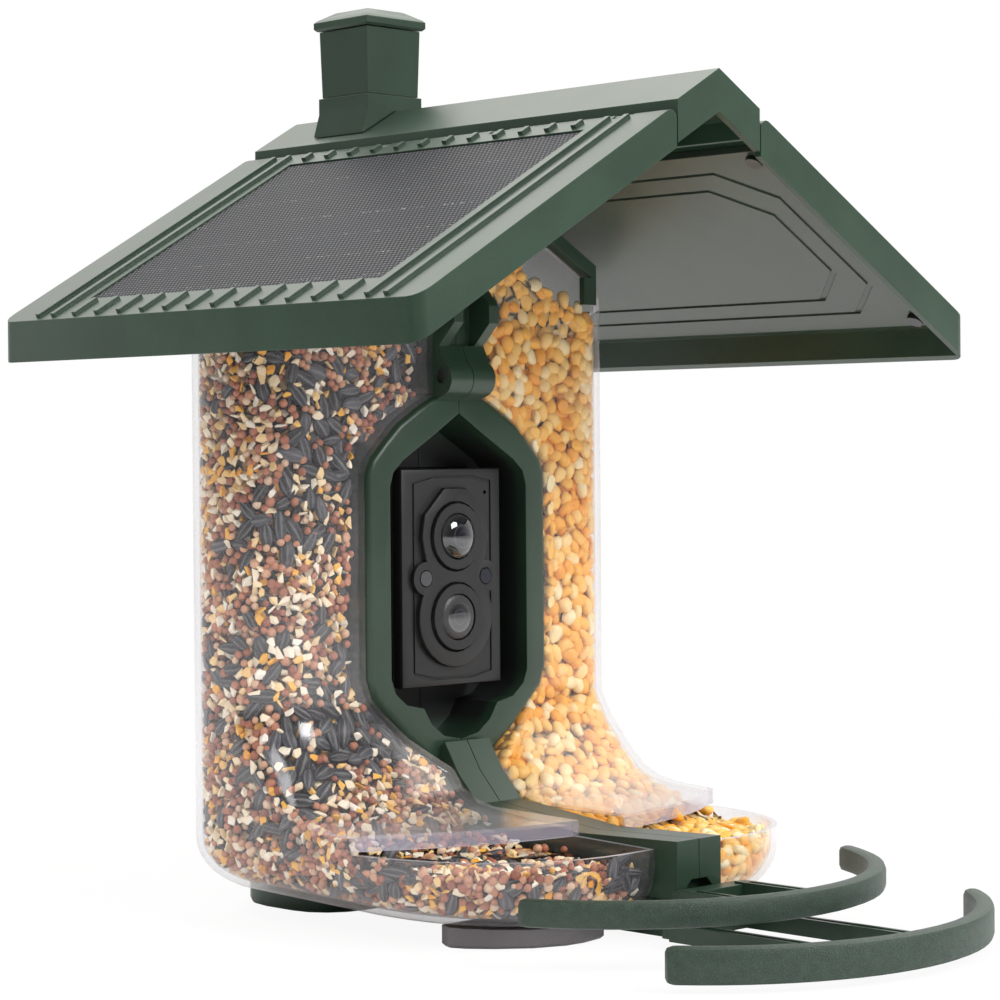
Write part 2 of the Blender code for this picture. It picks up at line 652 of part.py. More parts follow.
def build_roof_side(side_name):
    """One roof half: panel with its hinge barrel, solar panel, liner and the liner's screws."""
    side = SIDES[side_name]
    inner_x = HINGE_X - HINGE_RADIUS
    barrel_top = arc((HINGE_X, HINGE_Z), HINGE_RADIUS, pi, pi / 2 - ROOF_PITCH, 5)
    outline = [
        (inner_x, roof_z(inner_x) - FASCIA_HEIGHT),
        *barrel_top,
        (ROOF_HALF_X, EAVE_TOP_Z),
        (ROOF_HALF_X, EAVE_TOP_Z - FASCIA_HEIGHT),
    ]
    outline = [(side * x, z) for x, z in outline]
    mesh = outline_mesh(outline, ROOF_FRONT_Y, ROOF_BACK_Y, "XZ")
    bm = bmesh.new()
    bm.from_mesh(mesh)
    corners = [
        edge
        for edge in bm.edges
        if all(abs(abs(vert.co.x) - ROOF_HALF_X) < WELD for vert in edge.verts)
        and abs(edge.verts[0].co.y - edge.verts[1].co.y) < WELD
    ]
    bmesh.ops.bevel(bm, geom=corners, offset=EAVE_CORNER_RADIUS, segments=4, profile=0.5, affect="EDGES")
    bm.to_mesh(mesh)
    bm.free()
    panel = piece(f"{side_name}_roof_panel", mesh, GREEN)

    front, back = ROOF_FRONT_Y + ROOF_WALL, ROOF_BACK_Y - ROOF_WALL
    skin = ROOF_SKIN / cos(ROOF_PITCH)
    eave = ROOF_HALF_X - ROOF_WALL
    hollow = [
        (inner_x - OVERRUN, roof_z(inner_x - OVERRUN) - skin),
        (eave, roof_z(eave) - skin),
        (eave, roof_z(eave) - FASCIA_HEIGHT - OVERRUN),
        (inner_x - OVERRUN, roof_z(inner_x - OVERRUN) - FASCIA_HEIGHT - OVERRUN),
    ]
    cut(panel, outline_mesh([(side * x, z) for x, z in hollow], front, back, "XZ"))
    hinge = (side * HINGE_X, 0.0, HINGE_Z)
    join(panel, cylinder_mesh(HINGE_RADIUS, front - ROOF_WALL / 2, back + ROOF_WALL / 2, "Y", hinge, 16))
    cut(panel, cylinder_mesh(HINGE_BORE_RADIUS, front, back, "Y", hinge, 12))
    reach = LUG_RADIUS + 2 * RUNNING
    for y in lug_places():
        low = (side * HINGE_X - HINGE_RADIUS - OVERRUN, y - LUG_LENGTH / 2 - RUNNING, HINGE_Z - reach - OVERRUN)
        high = (side * HINGE_X + HINGE_RADIUS + OVERRUN, y + LUG_LENGTH / 2 + RUNNING, HINGE_Z + reach + OVERRUN)
        if side > 0:
            high = (side * HINGE_X + reach, high[1], high[2])
        else:
            low = (side * HINGE_X - reach, low[1], low[2])
        cut(panel, box_mesh(low, high))
    solar_x = (SOLAR_INNER_X, SOLAR_OUTER_X)
    solar_y = (SOLAR_FRONT_Y, SOLAR_BACK_Y)
    cut(panel, slope_box(side, solar_x, solar_y, (-SOLAR_POCKET, OVERRUN)))
    join(panel, *rib_meshes(side))

    gap = SEAT
    solar = piece(
        f"{side_name}_solar_panel",
        slope_box(
            side,
            (SOLAR_INNER_X + gap, SOLAR_OUTER_X - gap),
            (SOLAR_FRONT_Y + gap, SOLAR_BACK_Y - gap),
            (-SOLAR_POCKET + gap, -SOLAR_POCKET + gap + SOLAR_THICKNESS),
        ),
        SOLAR,
    )

    place = (side * HINGE_X, 0.0, HINGE_Z)
    axis_empty(f"{side_name}_roof_axis", place, panel, solar, *build_liner(side_name))


def chamfered(low, high, chamfer):
    """Rectangle with cut corners."""
    (x0, y0), (x1, y1) = low, high
    return [
        (x0 + chamfer, y0),
        (x1 - chamfer, y0),
        (x1, y0 + chamfer),
        (x1, y1 - chamfer),
        (x1 - chamfer, y1),
        (x0 + chamfer, y1),
        (x0, y1 - chamfer),
        (x0, y0 + chamfer),
    ]


def build_liner(side_name):
    """Plate under a roof half, with two grooves round it, and its four screws."""
    side = SIDES[side_name]
    matrix = slope_matrix(side)
    top = -ROOF_SKIN - SEAT
    bottom = top - LINER_THICKNESS
    inner = on_slope(HINGE_X + HINGE_RADIUS + LINER_MARGIN)
    outer = on_slope(ROOF_HALF_X - ROOF_WALL - LINER_MARGIN)
    front = ROOF_FRONT_Y + ROOF_WALL + LINER_MARGIN
    back = ROOF_BACK_Y - ROOF_WALL - LINER_MARGIN
    plate = box_mesh((inner, front, bottom), (outer, back, top))
    liner = piece(f"{side_name}_roof_liner", placed(plate, matrix), GREEN)
    for step in (1, 2):
        margin = LINER_GROOVE_MARGIN * step
        rims = []
        for grow in (0.0, LINER_GROOVE_WIDTH):
            low = (inner + margin + grow, front + margin + grow)
            high = (outer - margin - grow, back - margin - grow)
            rims.append(chamfered(low, high, LINER_CHAMFER))
        levels = (bottom - OVERRUN, bottom + LINER_GROOVE_DEPTH)
        cut(liner, groove_tool(*rims, *levels, "XY", matrix))
    meshes = []
    for x in (inner + LINER_SCREW_MARGIN, outer - LINER_SCREW_MARGIN):
        for y in (front + LINER_SCREW_MARGIN, back - LINER_SCREW_MARGIN):
            centre = (x, y, 0.0)
            hole = cylinder_mesh(
                LINER_SCREW_SHANK_RADIUS + SEAT, bottom - OVERRUN, top + OVERRUN, "Z", centre, 12
            )
            cut(liner, placed(hole, matrix))
            head_top = bottom - SEAT
            profile = (
                (LINER_SCREW_HEAD_RADIUS, head_top - LINER_SCREW_HEAD_HEIGHT, head_top),
                (LINER_SCREW_SHANK_RADIUS, head_top - LINER_SCREW_HEAD_HEIGHT / 2, top),
            )
            meshes.append(placed(screw_mesh(profile, "Z", centre), matrix))
    return [liner, *pieces(f"{side_name}_liner_screw", meshes, STEEL)]


def screw_mesh(profile, axis, centre, sides=12):
    """Screw as one turned solid: a head and a shank, each a radius with its two ends."""
    (head_radius, head_low, head_high), (shank_radius, _, shank_end) = profile
    bm = bmesh.new()
    rows = [
        (0.0, head_low),
        (head_radius, head_low),
        (head_radius, head_high),
        (shank_radius, head_high),
        (shank_radius, shank_end),
        (0.0, shank_end),
    ]
    verts = [bm.verts.new((r, 0.0, z)) for r, z in rows]
    edges = [bm.edges.new(pair) for pair in zip(verts, verts[1:])]
    bmesh.ops.spin(
        bm,
        geom=verts + edges,
        cent=(0.0, 0.0, 0.0),
        axis=(0.0, 0.0, 1.0),
        angle=2 * pi,
        steps=sides,
        use_merge=True,
    )
    bmesh.ops.remove_doubles(bm, verts=bm.verts, dist=WELD)
    turn = {"X": "YZ", "Y": "XZ", "Z": "XY"}[axis]
    bmesh.ops.transform(bm, matrix=PLANES[turn], verts=bm.verts)
    bmesh.ops.translate(bm, verts=bm.verts, vec=centre)
    turned_right_way(bm)
    return mesh_from(bm, "screw")


def build_ridge():
    """Ridge cap, the beam with the hinge lugs inside it, and the two hinge pins."""
    fall = ROOF_SLOPE * CAP_HALF_X
    lip_x = CAP_HALF_X - CAP_LIP_THICKNESS
    under_z = RIDGE_TOP_Z - CAP_THICKNESS
    lip_z = RIDGE_TOP_Z - fall - CAP_LIP_DEPTH
    deep = [
        (0.0, RIDGE_TOP_Z),
        (CAP_HALF_X, RIDGE_TOP_Z - fall),
        (CAP_HALF_X, RIDGE_TOP_Z - fall - FASCIA_HEIGHT),
        (0.0, RIDGE_TOP_Z - FASCIA_HEIGHT),
    ]
    cap = piece("ridge_cap", outline_mesh(both_sides(deep), ROOF_FRONT_Y, ROOF_BACK_Y, "XZ"), GREEN)
    past_x = CAP_HALF_X + OVERRUN
    past_z = RIDGE_TOP_Z - fall - FASCIA_HEIGHT - OVERRUN
    hollow = [
        (0.0, under_z),
        (lip_x, under_z - ROOF_SLOPE * lip_x),
        (lip_x, lip_z),
        (past_x, lip_z),
        (past_x, past_z),
        (0.0, past_z),
    ]
    front, back = ROOF_FRONT_Y + ROOF_WALL, ROOF_BACK_Y - ROOF_WALL
    cut(cap, outline_mesh(both_sides(hollow), front, back, "XZ"))

    beam_top = under_z - SEAT
    outer_x = lip_x - BEAM_SIDE_GAP
    inner_x = outer_x - BEAM_LEG_THICKNESS
    leg_top = beam_top - ROOF_SLOPE * outer_x
    leg_bottom = leg_top - BEAM_LEG_DEPTH
    section = [
        (0.0, beam_top),
        (outer_x, leg_top),
        (outer_x, leg_bottom),
        (inner_x, leg_bottom),
        (inner_x, beam_top - ROOF_SLOPE * inner_x - BEAM_THICKNESS),
        (0.0, beam_top - BEAM_THICKNESS),
    ]
    beam_front, beam_back = front + RUNNING, back - RUNNING
    beam = piece("ridge_beam", outline_mesh(both_sides(section), beam_front, beam_back, "XZ"), GREEN)
    arm_top = min(lip_z - SEAT - RUNNING, HINGE_Z + LUG_RADIUS)
    for side in SIDES.values():
        for y in lug_places():
            ends = (y - LUG_LENGTH / 2, y + LUG_LENGTH / 2)
            arm_x = sorted((side * (outer_x - BEAM_LEG_THICKNESS / 2), side * HINGE_X))
            low = (arm_x[0], ends[0], HINGE_Z - LUG_RADIUS)
            high = (arm_x[1], ends[1], arm_top)
            centre = (side * HINGE_X, 0.0, HINGE_Z)
            join(beam, box_mesh(low, high), cylinder_mesh(LUG_RADIUS, ends[0], ends[1], "Y", centre, 16))
        bore = cylinder_mesh(HINGE_BORE_RADIUS, beam_front, beam_back, "Y", (side * HINGE_X, 0.0, HINGE_Z), 12)
        cut(beam, bore)
    for side_name, side in SIDES.items():
        centre = (side * HINGE_X, 0.0, HINGE_Z)
        pin = cylinder_mesh(HINGE_PIN_RADIUS, front + RUNNING, back - RUNNING, "Y", centre, 12)
        piece(f"{side_name}_hinge_pin", pin, STEEL)


def build_chimney():
    """Chimney on the ridge: saddle base, tapered body and overhanging cap."""
    front = CHIMNEY_CENTRE_Y - CHIMNEY_BASE_TOP_HALF
    back = CHIMNEY_CENTRE_Y + CHIMNEY_BASE_TOP_HALF
    saddle = RIDGE_TOP_Z + SEAT
    foot = CHIMNEY_BASE_FOOT_HALF
    flare_z = saddle - ROOF_SLOPE * foot
    half = [
        (0.0, CHIMNEY_SEAM_Z - SEAT),
        (CHIMNEY_BASE_TOP_HALF, CHIMNEY_SEAM_Z - SEAT),
        (CHIMNEY_BASE_TOP_HALF, RIDGE_TOP_Z),
        (foot, flare_z + CHIMNEY_EASE),
        (foot, flare_z),
        (0.0, saddle),
    ]
    piece("chimney_base", outline_mesh(both_sides(half), front, back, "XZ"), GREEN)
    body_top = CHIMNEY_RIM_TOP_Z - CHIMNEY_RIM_HEIGHT - SEAT
    body = [
        (CHIMNEY_SEAM_Z, CHIMNEY_BODY_FOOT_HALF, CHIMNEY_BODY_FOOT_HALF),
        (body_top, CHIMNEY_BODY_TOP_HALF, CHIMNEY_BODY_TOP_HALF),
    ]
    centre = (0.0, CHIMNEY_CENTRE_Y, 0.0)
    piece("chimney_body", stacked_mesh(body, centre), GREEN)
    rim = CHIMNEY_RIM_HALF
    eased = rim - CHIMNEY_EASE
    cap = [
        (body_top + SEAT, eased, eased),
        (body_top + SEAT + CHIMNEY_EASE, rim, rim),
        (CHIMNEY_RIM_TOP_Z - CHIMNEY_EASE, rim, rim),
        (CHIMNEY_RIM_TOP_Z, eased, eased),
        (CHIMNEY_RIM_TOP_Z + CHIMNEY_DOME_HEIGHT, CHIMNEY_DOME_HALF, CHIMNEY_DOME_HALF),
    ]
    piece("chimney_cap", stacked_mesh(cap, centre), GREEN)


# Hoppers
def lip_y(x):
    """Front edge of the lip above the tray, an arc in plan."""
    return LIP_FRONT_Y + LIP_ARC_RADIUS - sqrt(LIP_ARC_RADIUS**2 - x**2)


def lip_points():
    """Plan points of the lip's front edge from the frame out to the side."""
    turn_x = HOPPER_OUTER_X - LIP_END_RADIUS
    straight = FRONT_POINTS - 3
    points = []
    for i in range(straight):
        x = HOPPER_INNER_X + (turn_x - HOPPER_INNER_X) * i / (straight - 1)
        points.append((x, lip_y(x)))
    centre = (turn_x, lip_y(turn_x) + LIP_END_RADIUS)
    return points + arc(centre, LIP_END_RADIUS, -pi / 2, 0.0, 4)[1:]


def tray_points():
    """Plan points of the tray's rim from the frame out to the side."""
    half_x = HOPPER_OUTER_X - TRAY_CENTRE_X
    power = 2 / TRAY_ROUNDNESS_SHARE
    side_y = lip_points()[-1][1]
    start = acos(-(((TRAY_CENTRE_X - HOPPER_INNER_X) / half_x) ** (1 / power)))
    end = asin(((TRAY_CENTRE_Y - side_y) / TRAY_REACH) ** (1 / power))
    points = []
    for i in range(FRONT_POINTS):
        t = start + (end - start) * i / (FRONT_POINTS - 1)
        across = abs(cos(t)) ** power * (1 if cos(t) > 0 else -1)
        points.append((TRAY_CENTRE_X + half_x * across, TRAY_CENTRE_Y - TRAY_REACH * sin(t) ** power))
    return points


def notch_x(z):
    """Where the hopper's inner wall stands at a height, out past the camera ring."""
    table = sorted((height, x) for x, height in RING_OUTLINE_XZ if x > HOPPER_INNER_X or height < CAMERA_MID_Z)
    table.append((RING_TOP_Z, HOPPER_INNER_X))
    width = between([(RING_BOTTOM_Z, HOPPER_INNER_X), *table[1:]], z)
    return width + RING_NOTCH_GAP if width > HOPPER_INNER_X + WELD else HOPPER_INNER_X


def wall_points(inner_x):
    """Plan points of the front wall and its outer corner, from the inner wall outwards."""
    radius = HOPPER_CORNER_RADIUS
    corner = (HOPPER_OUTER_X - radius, HOPPER_FRONT_Y + radius)
    flat = FRONT_POINTS - CORNER_POINTS
    points = []
    for i in range(flat):
        points.append((inner_x + (corner[0] - inner_x) * i / flat, HOPPER_FRONT_Y))
    return points + arc(corner, radius, -pi / 2, 0.0, CORNER_POINTS)


def rear_points():
    """Plan points of the side wall, the rear corner and the rear wall."""
    radius = HOPPER_CORNER_RADIUS
    corner = (HOPPER_OUTER_X - radius, HOPPER_BACK_Y - radius)
    side = [(HOPPER_OUTER_X, (HOPPER_FRONT_Y + HOPPER_BACK_Y) / 2)]
    middle = ((HOPPER_INNER_X + corner[0]) / 2, HOPPER_BACK_Y)
    return side + arc(corner, radius, 0.0, pi / 2, 5) + [middle]


def inner_points(inner_x):
    """Plan points of the inner wall from the rear forwards, with the step behind the camera ring."""
    behind = RING_BACK_Y + RING_NOTCH_GAP
    return [
        (HOPPER_INNER_X, HOPPER_BACK_Y),
        (HOPPER_INNER_X, behind + HOPPER_WALL / 2),
        (inner_x, behind),
    ]


def hopper_rings():
    """Rings of points over the hopper's outer surface, with the index of the tray's rim."""
    tray = tray_points()
    rings = []
    low_x, high_x = HOPPER_INNER_X, HOPPER_OUTER_X
    for angle in (90, 68, 46, 23, 0):
        inset = BOWL_FILLET * (1 - cos(radians(angle)))
        rise = BOWL_FILLET * (1 - sin(radians(angle)))
        ring = []
        for x, y in inner_points(low_x) + tray + rear_points():
            share_x = (x - low_x) / (high_x - low_x)
            share_y = (y - TRAY_FRONT_Y) / (HOPPER_BACK_Y - TRAY_FRONT_Y)
            new_x = x + inset * (BOWL_INNER_SHARE * (1 - share_x) - share_x)
            new_y = y + inset * (1 - 2 * share_y)
            ring.append((new_x, new_y, hopper_floor_z(new_y) + rise))
        rings.append(ring)
    plan = inner_points(low_x) + tray + rear_points()
    rings.append([(x, y, TRAY_RIM_Z) for x, y in plan])
    rim = len(rings) - 1
    lip = lip_points()
    rings.append([(x, y, LIP_BOTTOM_Z) for x, y in inner_points(low_x) + lip + rear_points()])
    for height, centre, side in zip(SWEEP_HEIGHT_SHARES, SWEEP_CENTRE_SHARES, SWEEP_SIDE_SHARES):
        z = SWEEP_FOOT_Z + (SWEEP_TOP_Z - SWEEP_FOOT_Z) * height
        inner_x = notch_x(z)
        front = []
        for (x0, y0), (x1, y1) in zip(wall_points(inner_x), lip):
            across = between([(HOPPER_INNER_X, 0.0), (SWEEP_SIDE_X, 1.0)], x1)
            drawn = centre + (side - centre) * across
            front.append((x0 + (max(x1, inner_x) - x0) * drawn, y0 + (y1 - y0) * drawn))
        rings.append([(x, y, z) for x, y in inner_points(inner_x) + front + rear_points()])
    corner_heights = sorted({z for _, z in RING_OUTLINE_XZ if z > SWEEP_TOP_Z + WELD})
    for z in corner_heights:
        inner_x = notch_x(z)
        plan = inner_points(inner_x) + wall_points(inner_x) + rear_points()
        rings.append([(x, y, z) for x, y in plan])
    plan = inner_points(low_x) + wall_points(low_x) + rear_points()
    rings.append([(x, y, hopper_top_z(x)) for x, y in plan])
    return rings, rim


def build_hopper(side_name):
    """Clear hopper lofted through its rings, open at the mouth and over the tray, below the lip."""
    side = SIDES[side_name]
    rings, rim = hopper_rings()
    first_front = len(inner_points(HOPPER_INNER_X))
    front = range(first_front, first_front + FRONT_POINTS - 1)
    bm = bmesh.new()
    rows = [[bm.verts.new((side * x, y, z)) for x, y, z in ring] for ring in rings]
    for level, (lower, upper) in enumerate(zip(rows, rows[1:])):
        for i, vert in enumerate(lower):
            if level == rim and i in front:
                continue
            j = (i + 1) % len(lower)
            face = (vert, lower[j], upper[j], upper[i])
            bm.faces.new(face if side > 0 else reversed(face))
    floor = rows[0]
    bm.faces.new(reversed(floor) if side > 0 else floor)
    shell = piece(f"{side_name}_hopper", mesh_from(bm, "hopper"), CLEAR)
    thick = shell.modifiers.new("wall", "SOLIDIFY")
    thick.thickness = HOPPER_WALL
    thick.offset = -1.0


# Frame
def bead_points():
    """Rounded bead across the neck, from its top to its bottom, as Y and Z."""
    centre = (BEAD_FRONT_Y + BEAD_RADIUS, BEAD_Z)
    return arc(centre, BEAD_RADIUS, pi / 2 + pi / 6, 3 * pi / 2 - pi / 6, 6)


def build_frame():
    """Two frame halves cut from one form: neck, ring, arm, nose and back plate."""
    bottom = FRAME_BOTTOM_Z
    profile = [
        (FRAME_BACK_Y, FRAME_TOP_Z),
        (HOPPER_FRONT_Y, FRAME_TOP_Z),
        (HOPPER_FRONT_Y, NECK_SHOULDER_Z),
        (NECK_FRONT_Y, NECK_FLARE_TOP_Z),
        (NECK_FRONT_Y, NECK_FLARE_Z),
        (NECK_WAIST_Y, NECK_WAIST_Z),
        *bead_points(),
        (RING_FRONT_Y + RING_LIP_ROUNDING, RING_TOP_Z - RING_LIP_ROUNDING),
        (RING_FRONT_Y + RING_LIP_ROUNDING, RING_BOTTOM_Z + BEAD_RADIUS),
        *ARM_POINTS_YZ,
        (NOSE_FRONT_Y, NOSE_TOP_Z),
        (NOSE_FRONT_Y, bottom),
        (FRAME_BACK_Y, bottom),
    ]
    blank = tool(outline_mesh(profile, -FRAME_HALF_X, FRAME_HALF_X, "YZ"))
    ring = both_sides(list(RING_OUTLINE_XZ))
    join(blank, outline_mesh(ring, RING_FRONT_Y, RING_BACK_Y, "XZ", RING_LIP_ROUNDING, "low", 3))
    plate_low = (-BACK_PLATE_HALF_X, FRAME_BACK_Y + SEAT, bottom)
    plate_high = (BACK_PLATE_HALF_X, FRAME_BACK_Y + SEAT + BACK_PLATE_THICKNESS, hopper_top_z(BACK_PLATE_HALF_X))
    web_low = (-FRAME_HALF_X, FRAME_BACK_Y - OVERRUN, bottom)
    web_high = (FRAME_HALF_X, FRAME_BACK_Y + SEAT + BACK_PLATE_THICKNESS / 2, plate_high[2])
    join(blank, box_mesh(web_low, web_high), box_mesh(plate_low, plate_high))
    hole = both_sides(list(HOLE_OUTLINE_XZ))
    cut(blank, outline_mesh(hole, RING_FRONT_Y - 4 * OVERRUN, POCKET_STEP_Y, "XZ"))
    socket_low = (-CAMERA_HALF_X - RUNNING, POCKET_STEP_Y - OVERRUN, CAMERA_BOTTOM_Z - RUNNING)
    socket_high = (CAMERA_HALF_X + RUNNING, CAMERA_BACK_Y + SEAT, CAMERA_TOP_Z + RUNNING)
    channel_low = (-CHANNEL_HALF_X, NECK_FRONT_Y - OVERRUN, NECK_WAIST_Z)
    channel_high = (CHANNEL_HALF_X, CHANNEL_BACK_Y, NECK_SHOULDER_Z)
    cut(blank, box_mesh(socket_low, socket_high), box_mesh(channel_low, channel_high))
    arch_side = NOSE_ARCH_TOP_Z - NOSE_ARCH_HALF_X / 2
    arch = [
        (NOSE_ARCH_HALF_X, bottom - OVERRUN),
        (NOSE_ARCH_HALF_X, arch_side),
        (NOSE_ARCH_HALF_X / 2, NOSE_ARCH_TOP_Z),
    ]
    arch += [(-x, z) for x, z in reversed(arch)]
    cut(blank, outline_mesh(arch, NOSE_FRONT_Y - OVERRUN, NOSE_FRONT_Y + NOSE_ARCH_DEPTH, "XZ"))

    screws = []
    head_low = -FRAME_HALF_X + FRAME_SCREW_RECESS
    for y, z in FRAME_SCREW_PLACES_YZ:
        centre = (0.0, y, z)
        head_end = head_low + FRAME_SCREW_HEAD_DEPTH
        hole = cylinder_mesh(
            FRAME_SCREW_SHANK_RADIUS + SEAT, head_low, head_end + FRAME_SCREW_LENGTH, "X", centre, 12
        )
        seat = cylinder_mesh(
            FRAME_SCREW_HEAD_RADIUS + SEAT, -FRAME_HALF_X - OVERRUN, head_end + SEAT, "X", centre, 16
        )
        cut(blank, hole, seat)
        profile = (
            (FRAME_SCREW_HEAD_RADIUS, head_low, head_end),
            (FRAME_SCREW_SHANK_RADIUS, head_end, head_end + FRAME_SCREW_LENGTH - SEAT),
        )
        screws.append(screw_mesh(profile, "X", centre))
    pieces("frame_screw", screws, STEEL)

    reach_x = RING_OUTLINE_XZ[5][0] + OVERRUN
    for side_name, side in SIDES.items():
        ends = sorted((side * FRAME_SPLIT, side * reach_x))
        low = (ends[0], NOSE_FRONT_Y - OVERRUN, bottom - OVERRUN)
        high = (ends[1], FRAME_BACK_Y + BACK_PLATE_THICKNESS + OVERRUN, FRAME_TOP_Z + OVERRUN)
        half = piece(f"{side_name}_frame_half", box_mesh(low, high), GREEN)
        combine(half, blank, "INTERSECT")


def build_bracket():
    """Bracket over the hopper mouths: a rail along each edge, end hooks and the block under the ridge."""
    seat_z = hopper_top_z(0.0) + SEAT + ROOF_SLOPE * HOPPER_WALL
    rail_half = [
        (0.0, seat_z + BRACKET_HEIGHT),
        (BRACKET_OUTER_X, seat_z + BRACKET_HEIGHT - ROOF_SLOPE * BRACKET_OUTER_X),
        (BRACKET_OUTER_X, seat_z - ROOF_SLOPE * BRACKET_OUTER_X),
        (0.0, seat_z),
    ]
    over = BRACKET_HOOK_THICKNESS + SEAT
    front = HOPPER_FRONT_Y - over
    back = HOPPER_BACK_Y + BACK_PLATE_THICKNESS + 2 * SEAT + over
    width = BRACKET_RAIL_WIDTH
    bracket = piece(
        "top_bracket", outline_mesh(both_sides(rail_half), front, front + width, "XZ"), GREEN
    )
    join(bracket, outline_mesh(both_sides(rail_half), back - width - over, back, "XZ"))
    block_top = RIDGE_TOP_Z - CAP_THICKNESS - BEAM_THICKNESS - 2 * SEAT
    half = BRACKET_BLOCK_HALF_X
    block = [
        (0.0, block_top),
        (half, block_top - ROOF_SLOPE * half),
        (half, seat_z - ROOF_SLOPE * half + BRACKET_HEIGHT / 4),
        (0.0, seat_z - ROOF_SLOPE * half + BRACKET_HEIGHT / 4),
    ]
    join(bracket, outline_mesh(both_sides(block), front + width / 4, back - width / 4, "XZ"))
    for side in SIDES.values():
        inner = side * (BRACKET_OUTER_X - BRACKET_HOOK_LENGTH)
        ends = sorted((inner, side * BRACKET_OUTER_X))
        top = hopper_top_z(BRACKET_OUTER_X) + BRACKET_HEIGHT / 2
        bottom = hopper_top_z(BRACKET_OUTER_X) - BRACKET_HOOK_DEPTH
        for y0, y1 in ((front, HOPPER_FRONT_Y - SEAT), (HOPPER_BACK_Y + SEAT, back)):
            join(bracket, box_mesh((ends[0], y0, bottom), (ends[1], y1, top)))


# Feet
def foot_top_z(y):
    """Seat of the hopper's floor on a foot."""
    return hopper_floor_z(y) - SEAT


def tilt_top(mesh, middle):
    """Lets the top of a foot follow the hopper's sloping floor."""
    for vert in mesh.vertices:
        if vert.co.z > middle:
            vert.co.z = foot_top_z(vert.co.y)
    return mesh


def build_feet():
    """Wide rear foot under both hoppers and a small foot under each tray."""
    radius = REAR_FOOT_CORNER
    x, y = REAR_FOOT_HALF_X - radius, REAR_FOOT_HALF_Y - radius
    outline = []
    for centre, start in (((x, y), 0.0), ((-x, y), pi / 2), ((-x, -y), pi), ((x, -y), 3 * pi / 2)):
        outline += arc(centre, radius, start, start + pi / 2, 5)
    height = HOPPER_FLOOR_BACK_Z
    mesh = outline_mesh(outline, 0.0, height, "XY", REAR_FOOT_ROUNDING, "low", 2)
    rear = piece("rear_foot", tilt_top(mesh, height / 2), GREEN)
    low = (-REAR_BOSS_HALF_X, -REAR_BOSS_HALF_Y, height / 2)
    join(rear, box_mesh(low, (REAR_BOSS_HALF_X, REAR_BOSS_HALF_Y, FRAME_BOTTOM_Z - SEAT)))
    for side_name, side in SIDES.items():
        outline = [(side * a, b) for a, b in FRONT_FOOT_POINTS_XY]
        mesh = outline_mesh(outline, 0.0, HOPPER_FLOOR_FRONT_Z, "XY", FRONT_FOOT_ROUNDING, "low", 1)
        piece(f"{side_name}_front_foot", tilt_top(mesh, HOPPER_FLOOR_FRONT_Z / 2), FROSTED)


# Perch
def bar_outline(radius, centre_y, half_angle, grow=0.0):
    """Plan of a perch bar: an arc of even width with rounded ends, open towards the feeder."""
    middle = radius - BAR_THICKNESS / 2
    end = BAR_THICKNESS / 2 + grow
    start, stop = -pi / 2 - half_angle, -pi / 2 + half_angle
    tip_angle = BAR_THICKNESS / 2 / middle
    start, stop = start + tip_angle, stop - tip_angle
    centre = (0.0, centre_y)
    outer = arc(centre, middle + end, start, stop, BAR_ARC_POINTS)
    tip = (centre[0] + middle * cos(stop), centre[1] + middle * sin(stop))
    far = arc(tip, end, stop, stop + pi, 5)[1:-1]
    inner = arc(centre, middle - end, stop, start, BAR_ARC_POINTS)
    tip = (centre[0] + middle * cos(start), centre[1] + middle * sin(start))
    near = arc(tip, end, start + pi, start + 2 * pi, 5)[1:-1]
    return outer + far + inner + near


